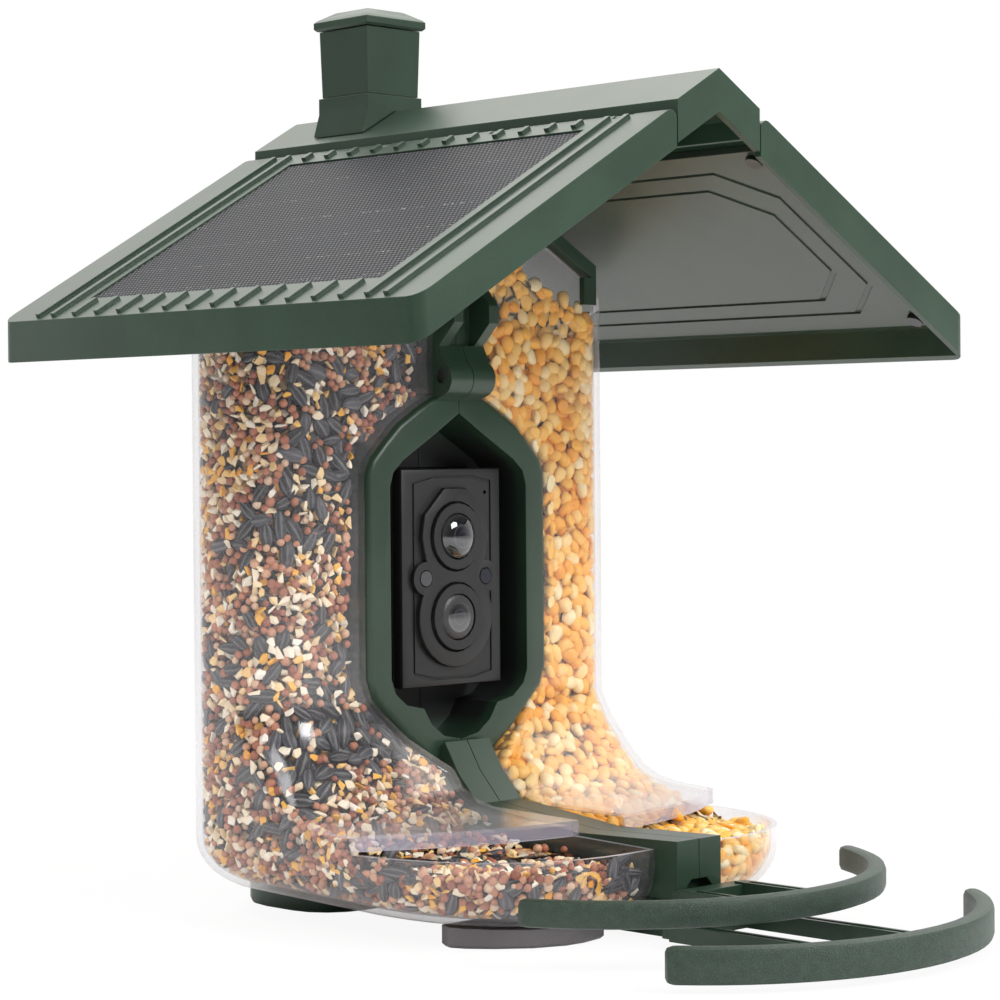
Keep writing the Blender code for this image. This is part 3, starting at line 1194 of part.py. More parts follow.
def build_perch():
    """Socket under the nose, and the perch that slides into it: rails and two curved bars."""
    socket = piece(
        "perch_socket",
        box_mesh(
            (-SOCKET_HALF_X, SOCKET_FRONT_Y, SOCKET_BOTTOM_Z),
            (SOCKET_HALF_X, SOCKET_BACK_Y, FRAME_BOTTOM_Z - SEAT),
        ),
        GREEN,
    )
    slot_low = (-TONGUE_HALF_X - RUNNING, SOCKET_FRONT_Y - OVERRUN, TONGUE_BOTTOM_Z - RUNNING)
    slot_high = (TONGUE_HALF_X + RUNNING, TONGUE_BACK_Y + SEAT, TONGUE_TOP_Z + RUNNING)
    cut(socket, box_mesh(slot_low, slot_high))

    head_back = SOCKET_FRONT_Y - SEAT
    head_front = head_back - PERCH_HEAD_LENGTH
    tongue_low = (-TONGUE_HALF_X, head_front, TONGUE_BOTTOM_Z)
    frame = piece("perch_frame", box_mesh(tongue_low, (TONGUE_HALF_X, TONGUE_BACK_Y, TONGUE_TOP_Z)), GREEN)
    lower_half = LOWER_RAIL_X + LOWER_RAIL_WIDTH / 2
    upper_half = UPPER_RAIL_X + UPPER_RAIL_WIDTH / 2
    inside = RAIL_GROOVE_DEPTH / 2
    join(
        frame,
        box_mesh(
            (-lower_half + inside, head_front, LOWER_RAIL_BOTTOM_Z + inside),
            (lower_half - inside, head_back, LOWER_RAIL_TOP_Z - inside),
        ),
        box_mesh(
            (-upper_half + inside, head_front, UPPER_RAIL_BOTTOM_Z + inside),
            (upper_half - inside, head_back, UPPER_RAIL_TOP_Z - inside),
        ),
        box_mesh(
            (-PERCH_WEB_HALF_X, head_front + inside, LOWER_RAIL_BOTTOM_Z + 2 * inside),
            (PERCH_WEB_HALF_X, head_back - inside, UPPER_RAIL_TOP_Z - 2 * inside),
        ),
    )
    lower_end = OUTER_BAR_CENTRE_Y - OUTER_BAR_RADIUS + BAR_THICKNESS / 2
    upper_end = INNER_BAR_CENTRE_Y - INNER_BAR_RADIUS + BAR_THICKNESS / 2
    rails = (
        (LOWER_RAIL_X, LOWER_RAIL_WIDTH, LOWER_RAIL_BOTTOM_Z, LOWER_RAIL_TOP_Z, lower_end),
        (UPPER_RAIL_X, UPPER_RAIL_WIDTH, UPPER_RAIL_BOTTOM_Z, UPPER_RAIL_TOP_Z, upper_end),
    )
    for side in SIDES.values():
        for x, width, low_z, high_z, end in rails:
            centre = side * x
            back_y = head_front + PERCH_HEAD_LENGTH / 2
            rail = box_mesh((centre - width / 2, end, low_z), (centre + width / 2, back_y, high_z))
            groove = RAIL_GROOVE_WIDTH / 2
            low = (centre - groove, end - OVERRUN, high_z - RAIL_GROOVE_DEPTH)
            high = (centre + groove, head_front - inside, high_z + OVERRUN)
            join(frame, rail)
            cut(frame, box_mesh(low, high))
    split_z = (LOWER_RAIL_TOP_Z + UPPER_RAIL_BOTTOM_Z) / 2
    inner = (INNER_BAR_RADIUS, INNER_BAR_CENTRE_Y, INNER_BAR_HALF_ANGLE)
    outer = (OUTER_BAR_RADIUS, OUTER_BAR_CENTRE_Y, OUTER_BAR_HALF_ANGLE)
    cut(
        frame,
        outline_mesh(bar_outline(*inner, SEAT), split_z, INNER_BAR_TOP_Z + OVERRUN, "XY"),
        outline_mesh(bar_outline(*outer, SEAT), OUTER_BAR_BOTTOM_Z - OVERRUN, split_z, "XY"),
    )
    inner_bar = piece(
        "perch_inner_bar",
        outline_mesh(bar_outline(*inner), INNER_BAR_BOTTOM_Z, INNER_BAR_TOP_Z, "XY", BAR_ROUNDING),
        GREEN_GRIP,
    )
    outer_bar = piece(
        "perch_outer_bar",
        outline_mesh(bar_outline(*outer), OUTER_BAR_BOTTOM_Z, OUTER_BAR_TOP_Z, "XY", BAR_ROUNDING),
        GREEN_GRIP,
    )
    axis_empty("perch_axis", (0.0, SOCKET_FRONT_Y, TONGUE_BOTTOM_Z), frame, inner_bar, outer_bar)


# Camera
def camera_rectangle(inset):
    """Corners of the camera's outline, set in from its edge."""
    x, low, high = CAMERA_HALF_X - inset, CAMERA_BOTTOM_Z + inset, CAMERA_TOP_Z - inset
    return [(-x, low), (x, low), (x, high), (-x, high)]


def figure_plate_outline():
    """Raised plate round the two lenses: cut shoulders above, a waist and a round lobe below."""
    half = [
        (0.0, PLATE_TOP_Z),
        (PLATE_TOP_HALF_X, PLATE_TOP_Z),
        (PLATE_SHOULDER_HALF_X, PLATE_SHOULDER_Z),
        (PLATE_UPPER_HALF_X, PLATE_UPPER_Z),
        (PLATE_WAIST_HALF_X, PLATE_WAIST_Z),
    ]
    start = asin((SENSOR_Z - LOWER_LENS_Z) / PLATE_LOBE_RADIUS)
    lobe = arc((0.0, LOWER_LENS_Z), PLATE_LOBE_RADIUS, start, -pi / 2, 11)
    return both_sides(half + lobe[:-1] + [(0.0, LOWER_LENS_Z - PLATE_LOBE_RADIUS)])


def groove_rims():
    """Outer and inner outline of the arc-edged groove on the face."""
    rims = []
    for grow in (GROOVE_WIDTH, 0.0):
        x, top, low = GROOVE_HALF_X + grow, GROOVE_TOP_Z + grow, GROOVE_BOTTOM_Z - grow
        rims.append(
            [
                (-x, low),
                (-x / 2, low - GROOVE_RISE),
                (x / 2, low - GROOVE_RISE),
                (x, low),
                (x, top),
                (x / 2, top + GROOVE_RISE),
                (-x / 2, top + GROOVE_RISE),
                (-x, top),
            ]
        )
    return rims


def lens_mesh(front_y, centre_z, dome):
    """Lens as a turned solid: a flat back, a straight edge and a domed front."""
    bm = bmesh.new()
    rows = [(0.0, LENS_EDGE), (LENS_RADIUS, LENS_EDGE), (LENS_RADIUS, 0.0)]
    steps = 5
    for i in range(1, steps):
        t = i / steps
        rows.append((LENS_RADIUS * cos(t * pi / 2), -dome * sin(t * pi / 2)))
    rows.append((0.0, -dome))
    verts = [bm.verts.new((r, 0.0, z)) for r, z in rows]
    edges = [bm.edges.new(pair) for pair in zip(verts, verts[1:])]
    bmesh.ops.spin(
        bm,
        geom=verts + edges,
        cent=(0.0, 0.0, 0.0),
        axis=(0.0, 0.0, 1.0),
        angle=2 * pi,
        steps=20,
        use_merge=True,
    )
    bmesh.ops.remove_doubles(bm, verts=bm.verts, dist=WELD)
    bmesh.ops.transform(bm, matrix=PLANES["XZ"], verts=bm.verts)
    bmesh.ops.translate(bm, verts=bm.verts, vec=(0.0, front_y, centre_z))
    turned_right_way(bm)
    return mesh_from(bm, "lens")


def build_camera():
    """Camera module: face, seal, housing, rear cover, lenses, windows and what is inside."""
    parts = []
    face_y, plate_y = CAMERA_FACE_Y, CAMERA_FACE_Y - PLATE_PROUD
    face_mesh = outline_mesh(camera_rectangle(0.0), face_y, FACE_BACK_Y, "XZ", CAMERA_ROUNDING, "low")
    face = piece("camera_face_plate", face_mesh, BLACK)
    inside = FACE_THICKNESS / 2
    cut(face, groove_tool(*groove_rims(), face_y - OVERRUN, face_y + GROOVE_DEPTH, "XZ"))
    join(face, outline_mesh(figure_plate_outline(), plate_y, face_y + inside, "XZ", CAMERA_ROUNDING / 2, "low"))
    for side in SIDES.values():
        centre = (side * SENSOR_X, 0.0, SENSOR_Z)
        join(face, cylinder_mesh(SENSOR_BOSS_RADIUS, plate_y + GROOVE_DEPTH / 4, face_y + inside, "Y", centre))
    for side in SIDES.values():
        centre = (side * SENSOR_X, 0.0, SENSOR_Z)
        seat = plate_y + SENSOR_WINDOW_DEPTH
        cut(face, cylinder_mesh(SENSOR_WINDOW_RADIUS + SEAT, plate_y - OVERRUN, seat + SEAT, "Y", centre, 16))
    for centre_z in (UPPER_LENS_Z, LOWER_LENS_Z):
        centre = (0.0, 0.0, centre_z)
        seat = plate_y + LENS_RING_SEAT
        cut(
            face,
            cylinder_mesh(LENS_RING_RADIUS + SEAT, plate_y - OVERRUN, seat + SEAT, "Y", centre, 24),
            cylinder_mesh(BARREL_RADIUS + SEAT, plate_y, FACE_BACK_Y + OVERRUN, "Y", centre, 20),
        )
    microphone = (MICROPHONE_X, 0.0, MICROPHONE_Z)
    cut(face, cylinder_mesh(MICROPHONE_RADIUS, face_y - OVERRUN, FACE_BACK_Y + OVERRUN, "Y", microphone, 8))
    parts.append(face)

    seal = piece(
        "camera_seal",
        outline_mesh(camera_rectangle(SEAT), FACE_BACK_Y + SEAT, HOUSING_FRONT_Y - SEAT, "XZ"),
        RUBBER,
    )
    opening = camera_rectangle(SEAL_WIDTH + SEAT)
    cut(seal, outline_mesh(opening, FACE_BACK_Y - OVERRUN, HOUSING_FRONT_Y + OVERRUN, "XZ"))
    parts.append(seal)

    housing = piece(
        "camera_housing",
        outline_mesh(camera_rectangle(0.0), HOUSING_FRONT_Y, HOUSING_BACK_Y, "XZ"),
        BLACK,
    )
    bay = camera_rectangle(HOUSING_WALL)
    cut(housing, outline_mesh(bay, HOUSING_FRONT_Y - OVERRUN, HOUSING_BACK_Y + OVERRUN, "XZ"))
    button_centre = (0.0, BUTTON_Y, 0.0)
    wall_under = CAMERA_TOP_Z - HOUSING_WALL
    cut(
        housing,
        cylinder_mesh(
            BUTTON_RADIUS + RUNNING, wall_under - OVERRUN, CAMERA_TOP_Z + OVERRUN, "Z", button_centre, 20
        ),
    )
    parts.append(housing)

    cover = piece(
        "camera_rear_cover",
        outline_mesh(
            camera_rectangle(0.0), HOUSING_BACK_Y + SEAT, CAMERA_BACK_Y, "XZ", CAMERA_ROUNDING, "high"
        ),
        BLACK,
    )
    port_low = (-PORT_HALF_X, HOUSING_BACK_Y - OVERRUN, PORT_Z - PORT_HALF_Z)
    port_high = (PORT_HALF_X, CAMERA_BACK_Y + OVERRUN, PORT_Z + PORT_HALF_Z)
    cut(cover, box_mesh(port_low, port_high))
    parts.append(cover)
    plug_low = (-PORT_HALF_X + SEAT, HOUSING_BACK_Y + SEAT, PORT_Z - PORT_HALF_Z + SEAT)
    plug_high = (PORT_HALF_X - SEAT, CAMERA_BACK_Y, PORT_Z + PORT_HALF_Z - SEAT)
    parts.append(piece("camera_port_plug", box_mesh(plug_low, plug_high), RUBBER))

    screws = []
    for side_x in SIDES.values():
        for z in (CAMERA_BOTTOM_Z + CAMERA_SCREW_INSET, CAMERA_TOP_Z - CAMERA_SCREW_INSET):
            centre = (side_x * (CAMERA_HALF_X - CAMERA_SCREW_INSET), 0.0, z)
            head_front = CAMERA_BACK_Y - CAMERA_SCREW_HEAD_HEIGHT
            hole = CAMERA_SCREW_SHANK_RADIUS + SEAT
            cut(
                cover,
                cylinder_mesh(hole, HOUSING_BACK_Y - OVERRUN, CAMERA_BACK_Y, "Y", centre, 12),
                cylinder_mesh(
                    CAMERA_SCREW_HEAD_RADIUS + SEAT, head_front - SEAT, CAMERA_BACK_Y + OVERRUN, "Y", centre, 16
                ),
            )
            profile = (
                (CAMERA_SCREW_HEAD_RADIUS, CAMERA_BACK_Y, head_front),
                (CAMERA_SCREW_SHANK_RADIUS, head_front, head_front - CAMERA_SCREW_LENGTH),
            )
            screws.append(screw_mesh(profile, "Y", centre))
    parts += pieces("camera_screw", screws, STEEL)

    board_front = HOUSING_FRONT_Y + BOARD_GAP
    board_edge = HOUSING_WALL + SEAT
    board = outline_mesh(camera_rectangle(board_edge), board_front, board_front + BOARD_THICKNESS, "XZ")
    parts.append(piece("circuit_board", board, BOARD))
    battery_back = HOUSING_BACK_Y
    low = (-BATTERY_HALF_X, battery_back - BATTERY_DEPTH, CAMERA_MID_Z - BATTERY_HEIGHT / 2)
    high = (BATTERY_HALF_X, battery_back, CAMERA_MID_Z + BATTERY_HEIGHT / 2)
    parts.append(piece("battery", box_mesh(low, high), CELL))

    for label, centre_z, dome in (("upper", UPPER_LENS_Z, LENS_DOME_HEIGHT), ("lower", LOWER_LENS_Z, LENS_EDGE)):
        centre = (0.0, 0.0, centre_z)
        ring_back = plate_y + LENS_RING_SEAT
        ring_front = plate_y - LENS_RING_PROUD
        ring = piece(
            f"{label}_lens_ring",
            cylinder_mesh(
                LENS_RING_RADIUS - LENS_RING_PROUD / 2,
                ring_front,
                ring_back,
                "Y",
                centre,
                24,
                end_radius=LENS_RING_RADIUS,
            ),
            BLACK,
        )
        lens_back = ring_back - LENS_EDGE / 2
        cut(
            ring,
            cylinder_mesh(LENS_RADIUS + SEAT, ring_front - OVERRUN, lens_back, "Y", centre, 24),
            cylinder_mesh(BARREL_RADIUS + SEAT, ring_front, ring_back + OVERRUN, "Y", centre, 20),
        )
        lens = lens_mesh(lens_back - SEAT - LENS_EDGE, centre_z, dome)
        parts += [ring, piece(f"{label}_lens", lens, LENS)]
        barrel = cylinder_mesh(BARREL_RADIUS, lens_back, board_front - SEAT, "Y", centre, 20)
        parts.append(piece(f"{label}_lens_barrel", barrel, BLACK))
    for label, side in (("led_window", -1), ("sensor_window", 1)):
        centre = (side * SENSOR_X, 0.0, SENSOR_Z)
        window = cylinder_mesh(SENSOR_WINDOW_RADIUS, plate_y, plate_y + SENSOR_WINDOW_DEPTH, "Y", centre, 16)
        parts.append(piece(label, window, LENS))
    axis_empty("camera_axis", (0.0, CAMERA_FACE_Y, CAMERA_MID_Z), *parts)

    flange_top = wall_under - SEAT
    button = piece(
        "power_button",
        cylinder_mesh(BUTTON_FLANGE_RADIUS, flange_top - BUTTON_FLANGE_HEIGHT, flange_top, "Z", button_centre),
        RUBBER,
    )
    cap_low = flange_top - BUTTON_FLANGE_HEIGHT / 2
    join(button, cylinder_mesh(BUTTON_RADIUS, cap_low, CAMERA_TOP_Z, "Z", button_centre))
    axis_empty("button_axis", (0.0, BUTTON_Y, CAMERA_TOP_Z), button)


def finish_shading():
    """Smooth shading with sharp edges kept."""
    for obj in PRODUCT.objects:
        if obj.type == "MESH":
            obj.data.shade_smooth()
            obj.data.set_sharp_from_angle(angle=radians(35))


for hopper_side in SIDES:
    build_roof_side(hopper_side)
    build_hopper(hopper_side)
build_ridge()
build_chimney()
build_frame()
build_bracket()
build_feet()
build_perch()
build_camera()
finish_shading()
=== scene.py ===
"""Looks of the camera bird feeder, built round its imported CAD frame.

Two clear hoppers full of seed stand either side of a moulded green frame, under a hinged solar
roof. The CAD nodes keep their shapes and get their finishes here. The hoppers are drawn again with
finer curves, and the seed in them is made here: whole mixed seed on the left, cracked corn on the
right. Metres, in the CAD frame.
"""

from __future__ import annotations

import logging
from collections.abc import Callable
from dataclasses import dataclass, field, replace
from enum import Enum
from functools import cache
from itertools import product
from math import acos, asin, cos, pi, radians, sin, sqrt

import bmesh
import bpy
import numpy as np
from mathutils import Matrix, Vector, noise
from mathutils.bvhtree import BVHTree


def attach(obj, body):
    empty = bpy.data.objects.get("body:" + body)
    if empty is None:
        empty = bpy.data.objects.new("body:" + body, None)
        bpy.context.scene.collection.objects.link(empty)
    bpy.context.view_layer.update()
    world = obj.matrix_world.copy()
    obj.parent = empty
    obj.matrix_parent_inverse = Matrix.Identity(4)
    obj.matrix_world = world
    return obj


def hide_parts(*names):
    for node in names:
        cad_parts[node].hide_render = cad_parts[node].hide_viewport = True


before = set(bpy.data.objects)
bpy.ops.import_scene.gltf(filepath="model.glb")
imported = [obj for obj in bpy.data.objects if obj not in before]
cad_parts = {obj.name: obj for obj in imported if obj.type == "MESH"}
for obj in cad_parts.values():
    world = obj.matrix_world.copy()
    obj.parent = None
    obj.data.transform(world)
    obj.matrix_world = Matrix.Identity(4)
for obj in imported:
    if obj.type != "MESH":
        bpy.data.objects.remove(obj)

LOG = logging.getLogger("bird_feeder")
MM = 0.001


class Side(Enum):
    """The two halves of the feeder, with the sign of their X."""

    LEFT = -1
    RIGHT = 1

    @property
    def word(self) -> str:
        """Name used in node and piece names."""
        return self.name.lower()


class Seed(Enum):
    """Kinds of seed in the hoppers."""

    SUNFLOWER = "sunflower"
    MILO = "milo"
    CHIP = "chip"
    KERNEL = "kernel"


Colour = tuple[float, float, float]
Point = tuple[float, float, float]
Stops = tuple[tuple[float, Colour], ...]
Table = tuple[tuple[float, float], ...]
Plan = list[tuple[float, float]]
Form = tuple[np.ndarray, list, np.ndarray]
Surface = tuple[np.ndarray, np.ndarray, np.ndarray]
Placed = list[tuple[Seed, np.ndarray, np.ndarray]]
Laid = dict[Seed, tuple[list, list, list]]

WHITE: Colour = (1.0, 1.0, 1.0)


# Shader tools


def operator(operation: str, swapped: bool = False) -> Callable[..., Value]:
    """Operator of a Value that adds a Math node.

    Args:
        operation: The node's operation.
        swapped: Whether the other term comes first.

    Returns:
        The operator.
    """

    def apply(value: Value, *others: Value | float) -> Value:
        """Adds the node."""
        return value.math(operation, *(others + (value,) if swapped else (value, *others)))

    return apply


class Value:
    """A socket of a material, on which Python's operators add Math nodes."""

    def __init__(self, shade: Shade, socket: bpy.types.NodeSocket) -> None:
        """Wraps one output socket."""
        self.shade = shade
        self.socket = socket

    def math(self, operation: str, *terms: Value | float) -> Value:
        """Adds one Math node with its inputs in order."""
        return self.shade.node("ShaderNodeMath", {"operation": operation}, dict(enumerate(terms)))

    __add__ = __radd__ = operator("ADD")
    __sub__ = operator("SUBTRACT")
    __rsub__ = operator("SUBTRACT", swapped=True)
    __mul__ = __rmul__ = operator("MULTIPLY")
    __truediv__ = operator("DIVIDE")
    __pow__ = operator("POWER")
    __mod__ = operator("FLOORED_MODULO")
    __abs__ = operator("ABSOLUTE")
    cosine = operator("COSINE")

    def step(self, low: float, high: float) -> Value:
        """Smooth step from 0 at low to 1 at high."""
        settings = {"interpolation_type": "SMOOTHSTEP", "clamp": True}
        return self.shade.node("ShaderNodeMapRange", settings, {"Value": self, "From Min": low, "From Max": high})

    def limited(self) -> Value:
        """Clamped to 0..1."""
        return self.shade.node("ShaderNodeClamp", {}, {0: self})


class Shade:
    """Nodes of one material or world."""

    def __init__(self, tree: bpy.types.NodeTree) -> None:
        """Takes an empty node tree."""
        self.tree = tree

    def node(
        self,
        kind: str,
        settings: dict | None = None,
        inputs: dict[int | str, Value | float | tuple] | None = None,
        output: int | str = 0,
    ) -> Value:
        """Adds one node of any type.

        Args:
            kind: The node's type.
            settings: Its properties, set first; stops is a ramp's list of place and colour.
            inputs: Values or links by socket name or number.
            output: The output to return.

        Returns:
            The chosen output.
        """
        made = self.tree.nodes.new(kind)
        for name, setting in (settings or {}).items():
            if name == "stops":
                elements = made.color_ramp.elements
                while len(elements) > 1:
                    elements.remove(elements[-1])
                for index, (place, colour) in enumerate(setting):
                    element = elements[0] if index == 0 else elements.new(place)
                    element.position = place
                    element.color = (*colour, 1.0)
            else:
                setattr(made, name, setting)
        for name, value in (inputs or {}).items():
            socket = made.inputs[name]
            if isinstance(value, Value):
                self.tree.links.new(value.socket, socket)
            elif isinstance(value, tuple) and len(value) == 3 and socket.type == "RGBA":
                socket.default_value = (*value, 1.0)
            else:
                socket.default_value = value
        return Value(self, made.outputs[output])

    def place(self) -> Value:
        """Point on the surface in the object's own metres."""
        return self.node("ShaderNodeTexCoord", {}, {}, "Object")

    def split(self, vector: Value) -> tuple[Value, Value, Value]:
        """X, Y and Z of a vector.

        Args:
            vector: The vector.

        Returns:
            The three numbers.
        """
        made = self.node("ShaderNodeSeparateXYZ", {}, {0: vector})
        outputs = made.socket.node.outputs
        return Value(self, outputs[0]), Value(self, outputs[1]), Value(self, outputs[2])

    def noise(self, size: float, detail: float = 3.0, rough: float = 0.55) -> Value:
        """Noise around 0.5 whose features are about size metres across."""
        inputs = {"Vector": self.place(), "Scale": 1.0 / size, "Detail": detail, "Roughness": rough}
        return self.node("ShaderNodeTexNoise", {}, inputs)

    def mix(self, factor: Value | float, first: Value | Colour, second: Value | Colour) -> Value:
        """Mix of two colours, with the factor as the second one's share."""
        return self.node("ShaderNodeMix", {"data_type": "RGBA"}, {0: factor, 6: first, 7: second}, 2)

    def blend(self, factor: Value, first: Value, second: Value) -> Value:
        """Mix of two shaders, with the factor as the second one's share."""
        return self.node("ShaderNodeMixShader", {}, {0: factor, 1: first, 2: second})

    def ramp(self, factor: Value, stops: Stops, step: str = "LINEAR") -> Value:
        """Colour ramp.

        Args:
            factor: Where it is read.
            stops: Place and colour of each stop.
            step: How it goes from one stop to the next.

        Returns:
            The colour.
        """
        made = self.node("ShaderNodeValToRGB", {"stops": stops}, {0: factor})
        made.socket.node.color_ramp.interpolation = step
        return made

    def soft_edges(self, radius: float) -> Value:
        """Normal that rounds sharp edges over a small radius."""
        return self.node("ShaderNodeBevel", {"samples": 4}, {"Radius": radius})

    def edge_mask(self, rounded: Value) -> Value:
        """Mask of the edges.

        Args:
            rounded: A normal that rounds the edges.

        Returns:
            1 where that normal leaves the plain one.
        """
        plain = self.node("ShaderNodeNewGeometry", {}, {}, "Normal")
        dot = self.node("ShaderNodeVectorMath", {"operation": "DOT_PRODUCT"}, {0: rounded, 1: plain}, "Value")
        return (1.0 - dot).step(0.01, 0.22)

    def bump(self, height: Value, depth: float, normal: Value | None = None) -> Value:
        """Normal bumped by a height of 0 to 1 over a depth in metres, on top of another normal."""
        below = {} if normal is None else {"Normal": normal}
        return self.node("ShaderNodeBump", {}, {"Height": height, "Distance": depth, "Strength": 1.0, **below})

    def principled(self, **inputs: Value | float | Colour) -> Value:
        """Principled shader, its inputs named with underscores for spaces."""
        return self.node("ShaderNodeBsdfPrincipled", {}, {name.replace("_", " "): v for name, v in inputs.items()})

    def ray(self, kind: str) -> Value:
        """1 where the light path is of a kind, such as Camera."""
        return self.node("ShaderNodeLightPath", {}, {}, f"Is {kind} Ray")

    def end(self, shader: Value) -> None:
        """Links a shader to the output.

        Args:
            shader: The shader.
        """
        kind = "ShaderNodeOutputWorld" if isinstance(self.tree.id_data, bpy.types.World) else "ShaderNodeOutputMaterial"
        made = self.tree.nodes.new(kind)
        self.tree.links.new(shader.socket, made.inputs["Surface"])


# Finishes


def tone(colour: Colour, factor: float) -> Colour:
    """A colour made darker or lighter."""
    return tuple(c * factor for c in colour)


@dataclass(frozen=True)
class Finish:
    """Look of a piece; each kind adds its own nodes."""

    name: str

    def shader(self, shade: Shade) -> Value:
        """Adds the nodes and returns the shader."""
        raise NotImplementedError

    @cache
    def make(self) -> bpy.types.Material:
        """Builds the finish's material, once.

        Returns:
            The material.
        """
        material = bpy.data.materials.new(self.name)
        material.use_nodes = True
        material.node_tree.nodes.clear()
        shade = Shade(material.node_tree)
        shade.end(self.shader(shade))
        return material


@dataclass(frozen=True)
class MouldedPlastic(Finish):
    """Moulded plastic with a fine eroded grain, slight mottling and a painted highlight along its edges."""

    colour: Colour
    roughness: float
    grain: float = 0.45 * MM
    depth: float = 0.012 * MM
    edge: float = 0.35 * MM
    # Strength of the painted highlight along the edges, which stands in for light caught on their rounding.
    edge_highlight: float = 0.18
    # Whether a painted shade darkens the pocket the camera sits in, standing in for the shade deep in that recess.
    pocket: bool = False

    def shader(self, shade: Shade) -> Value:
        """Adds the nodes.

        Args:
            shade: The material's nodes.

        Returns:
            The shader.
        """
        cloud = shade.noise(28 * MM, 3.0)
        speck = shade.noise(self.grain, 2.0, 0.6)
        rounded = shade.soft_edges(self.edge)
        # Painted highlight: patches of paler colour along the edges stand in for light caught on their rounding.
        painted_edge_highlight = shade.edge_mask(rounded) * shade.noise(3 * MM, 2.0).step(0.35, 0.65) * self.edge_highlight
        pale = tuple(min(1.0, c * 2.2 + 0.02) for c in self.colour)
        colour = shade.mix(cloud.step(0.3, 0.7), tone(self.colour, 0.86), tone(self.colour, 1.14))
        colour = shade.mix(speck.step(0.35, 0.75) * 0.16, colour, pale)
        colour = shade.mix(painted_edge_highlight, colour, pale)
        rough = cloud * 0.10 + speck * 0.08 + (self.roughness - 0.09)
        # Painted shade: a near-black patch over the pocket's inner walls stands in for the shade deep in the recess.
        if self.pocket:
            x, y, z = shade.split(shade.place())
            pocket_shade = (1.0 - abs(x).step(31 * MM, 34 * MM)) * y.step(-33 * MM, -27 * MM)
            pocket_shade = pocket_shade * z.step(56 * MM, 62 * MM) * (1.0 - z.step(150 * MM, 165 * MM))
            pocket_shade = pocket_shade * (1.0 - y.step(10 * MM, 13 * MM))
            colour = shade.mix(pocket_shade, colour, (0.006, 0.008, 0.007))
            rough = rough + pocket_shade * 0.3
        normal = shade.bump(speck, self.depth, rounded)
        return shade.principled(Base_Color=colour, Roughness=rough, Normal=normal, IOR=1.5)


@dataclass(frozen=True)
class LeatherGrain(Finish):
    """Perch plastic with a coarse leather grain that gives a bird its grip."""

    colour: Colour
    roughness: float = 0.5
    cell: float = 1.1 * MM
    depth: float = 0.09 * MM

    def shader(self, shade: Shade) -> Value:
        """Adds the nodes.

        Args:
            shade: The material's nodes.

        Returns:
            The shader.
        """
        warp = shade.noise(3 * MM, 2.0)
        cells = shade.node(
            "ShaderNodeTexVoronoi",
            {"feature": "DISTANCE_TO_EDGE"},
            {"Vector": shade.place(), "Scale": 1.0 / self.cell, "Randomness": 1.0},
        )
        pebble = cells.step(0.0, 0.28)
        fine = shade.noise(0.35 * MM, 2.0)
        height = pebble * 0.75 + fine * 0.25 + warp * 0.2
        colour = shade.mix(pebble, tone(self.colour, 0.62), self.colour)
        colour = shade.mix(warp.step(0.4, 0.75) * 0.3, colour, tone(self.colour, 1.5))
        rough = (fine - 0.5) * 0.12 - pebble * 0.05 + self.roughness
        normal = shade.bump(height, self.depth, shade.soft_edges(0.4 * MM))
        return shade.principled(Base_Color=colour, Roughness=rough, Normal=normal, IOR=1.5)


@dataclass(frozen=True)
class ClearPlastic(Finish):
    """Clear moulded plastic: see-through with a faint violet-grey haze that thickens at grazing angles."""

    haze: float
    grazing: float
    tint: Colour = (0.985, 0.98, 0.985)
    body: Colour = (0.62, 0.60, 0.64)
    gloss: float = 0.09

    def shader(self, shade: Shade) -> Value:
        """Adds the nodes.

        Args:
            shade: The material's nodes.

        Returns:
            The shader.
        """
        flow = shade.noise(22 * MM, 3.0)
        scuff = shade.noise(1.6 * MM, 3.0)
        facing = shade.node("ShaderNodeLayerWeight", {}, {"Blend": 0.5}, "Facing")
        mirror = (facing**5.0 * 0.55 + 0.035).limited()
        milky = facing**4.0 * self.grazing + flow.step(0.3, 0.8) * 0.03 + scuff.step(0.6, 0.8) * 0.02
        milky = (milky + self.haze).limited()
        normal = shade.bump(scuff * 0.6 + flow, 0.02 * MM)
        open_wall = shade.node("ShaderNodeBsdfTransparent", {}, {"Color": self.tint})
        solid = shade.principled(Base_Color=self.body, Roughness=flow * 0.1 + 0.25, Normal=normal, IOR=1.49)
        gloss = scuff * 0.06 + self.gloss
        shine = shade.principled(Base_Color=WHITE, Metallic=1.0, Roughness=gloss, Normal=normal)
        return shade.blend(mirror, shade.blend(milky, open_wall, solid), shine)


@dataclass(frozen=True)
class SolarFilm(Finish):
    """Dark solar cells under a film pressed with a fine honeycomb, with thin silver busbars."""

    pitch_angle: float
    cell: float = 1.5 * MM
    busbar: float = 15.4 * MM

    def shader(self, shade: Shade) -> Value:
        """Adds the nodes.

        Args:
            shade: The material's nodes.

        Returns:
            The shader.
        """
        x, y, _ = shade.split(shade.place())
        slope = abs(x) / cos(self.pitch_angle)
        turn = 2 * pi / self.cell
        waves = (slope * turn).cosine()
        for lean in (0.5, -0.5):
            waves = waves + (slope * (turn * lean) + y * (turn * sqrt(3) / 2)).cosine()
        mesh = waves.step(-0.2, 2.2)
        glint = shade.noise(0.9 * MM, 2.0).step(0.55, 0.8)
        bar = abs((slope + 3.0 * MM) % self.busbar - self.busbar / 2)
        line = (1.0 - bar.step(0.10 * MM, 0.32 * MM)) * glint
        cloud = shade.noise(30 * MM, 2.0)
        colour = shade.mix(mesh, (0.001, 0.001, 0.002), (0.16, 0.16, 0.18))
        colour = shade.mix(cloud.step(0.35, 0.7) * 0.2, colour, (0.03, 0.03, 0.045))
        colour = shade.mix(line, colour, (0.75, 0.75, 0.75))
        rough, normal = 0.46 - mesh * 0.06, shade.bump(mesh, 0.16 * MM)
        looks = {"Base_Color": colour, "Roughness": rough, "Normal": normal, "IOR": 1.4}
        return shade.principled(**looks, Specular_IOR_Level=0.09)


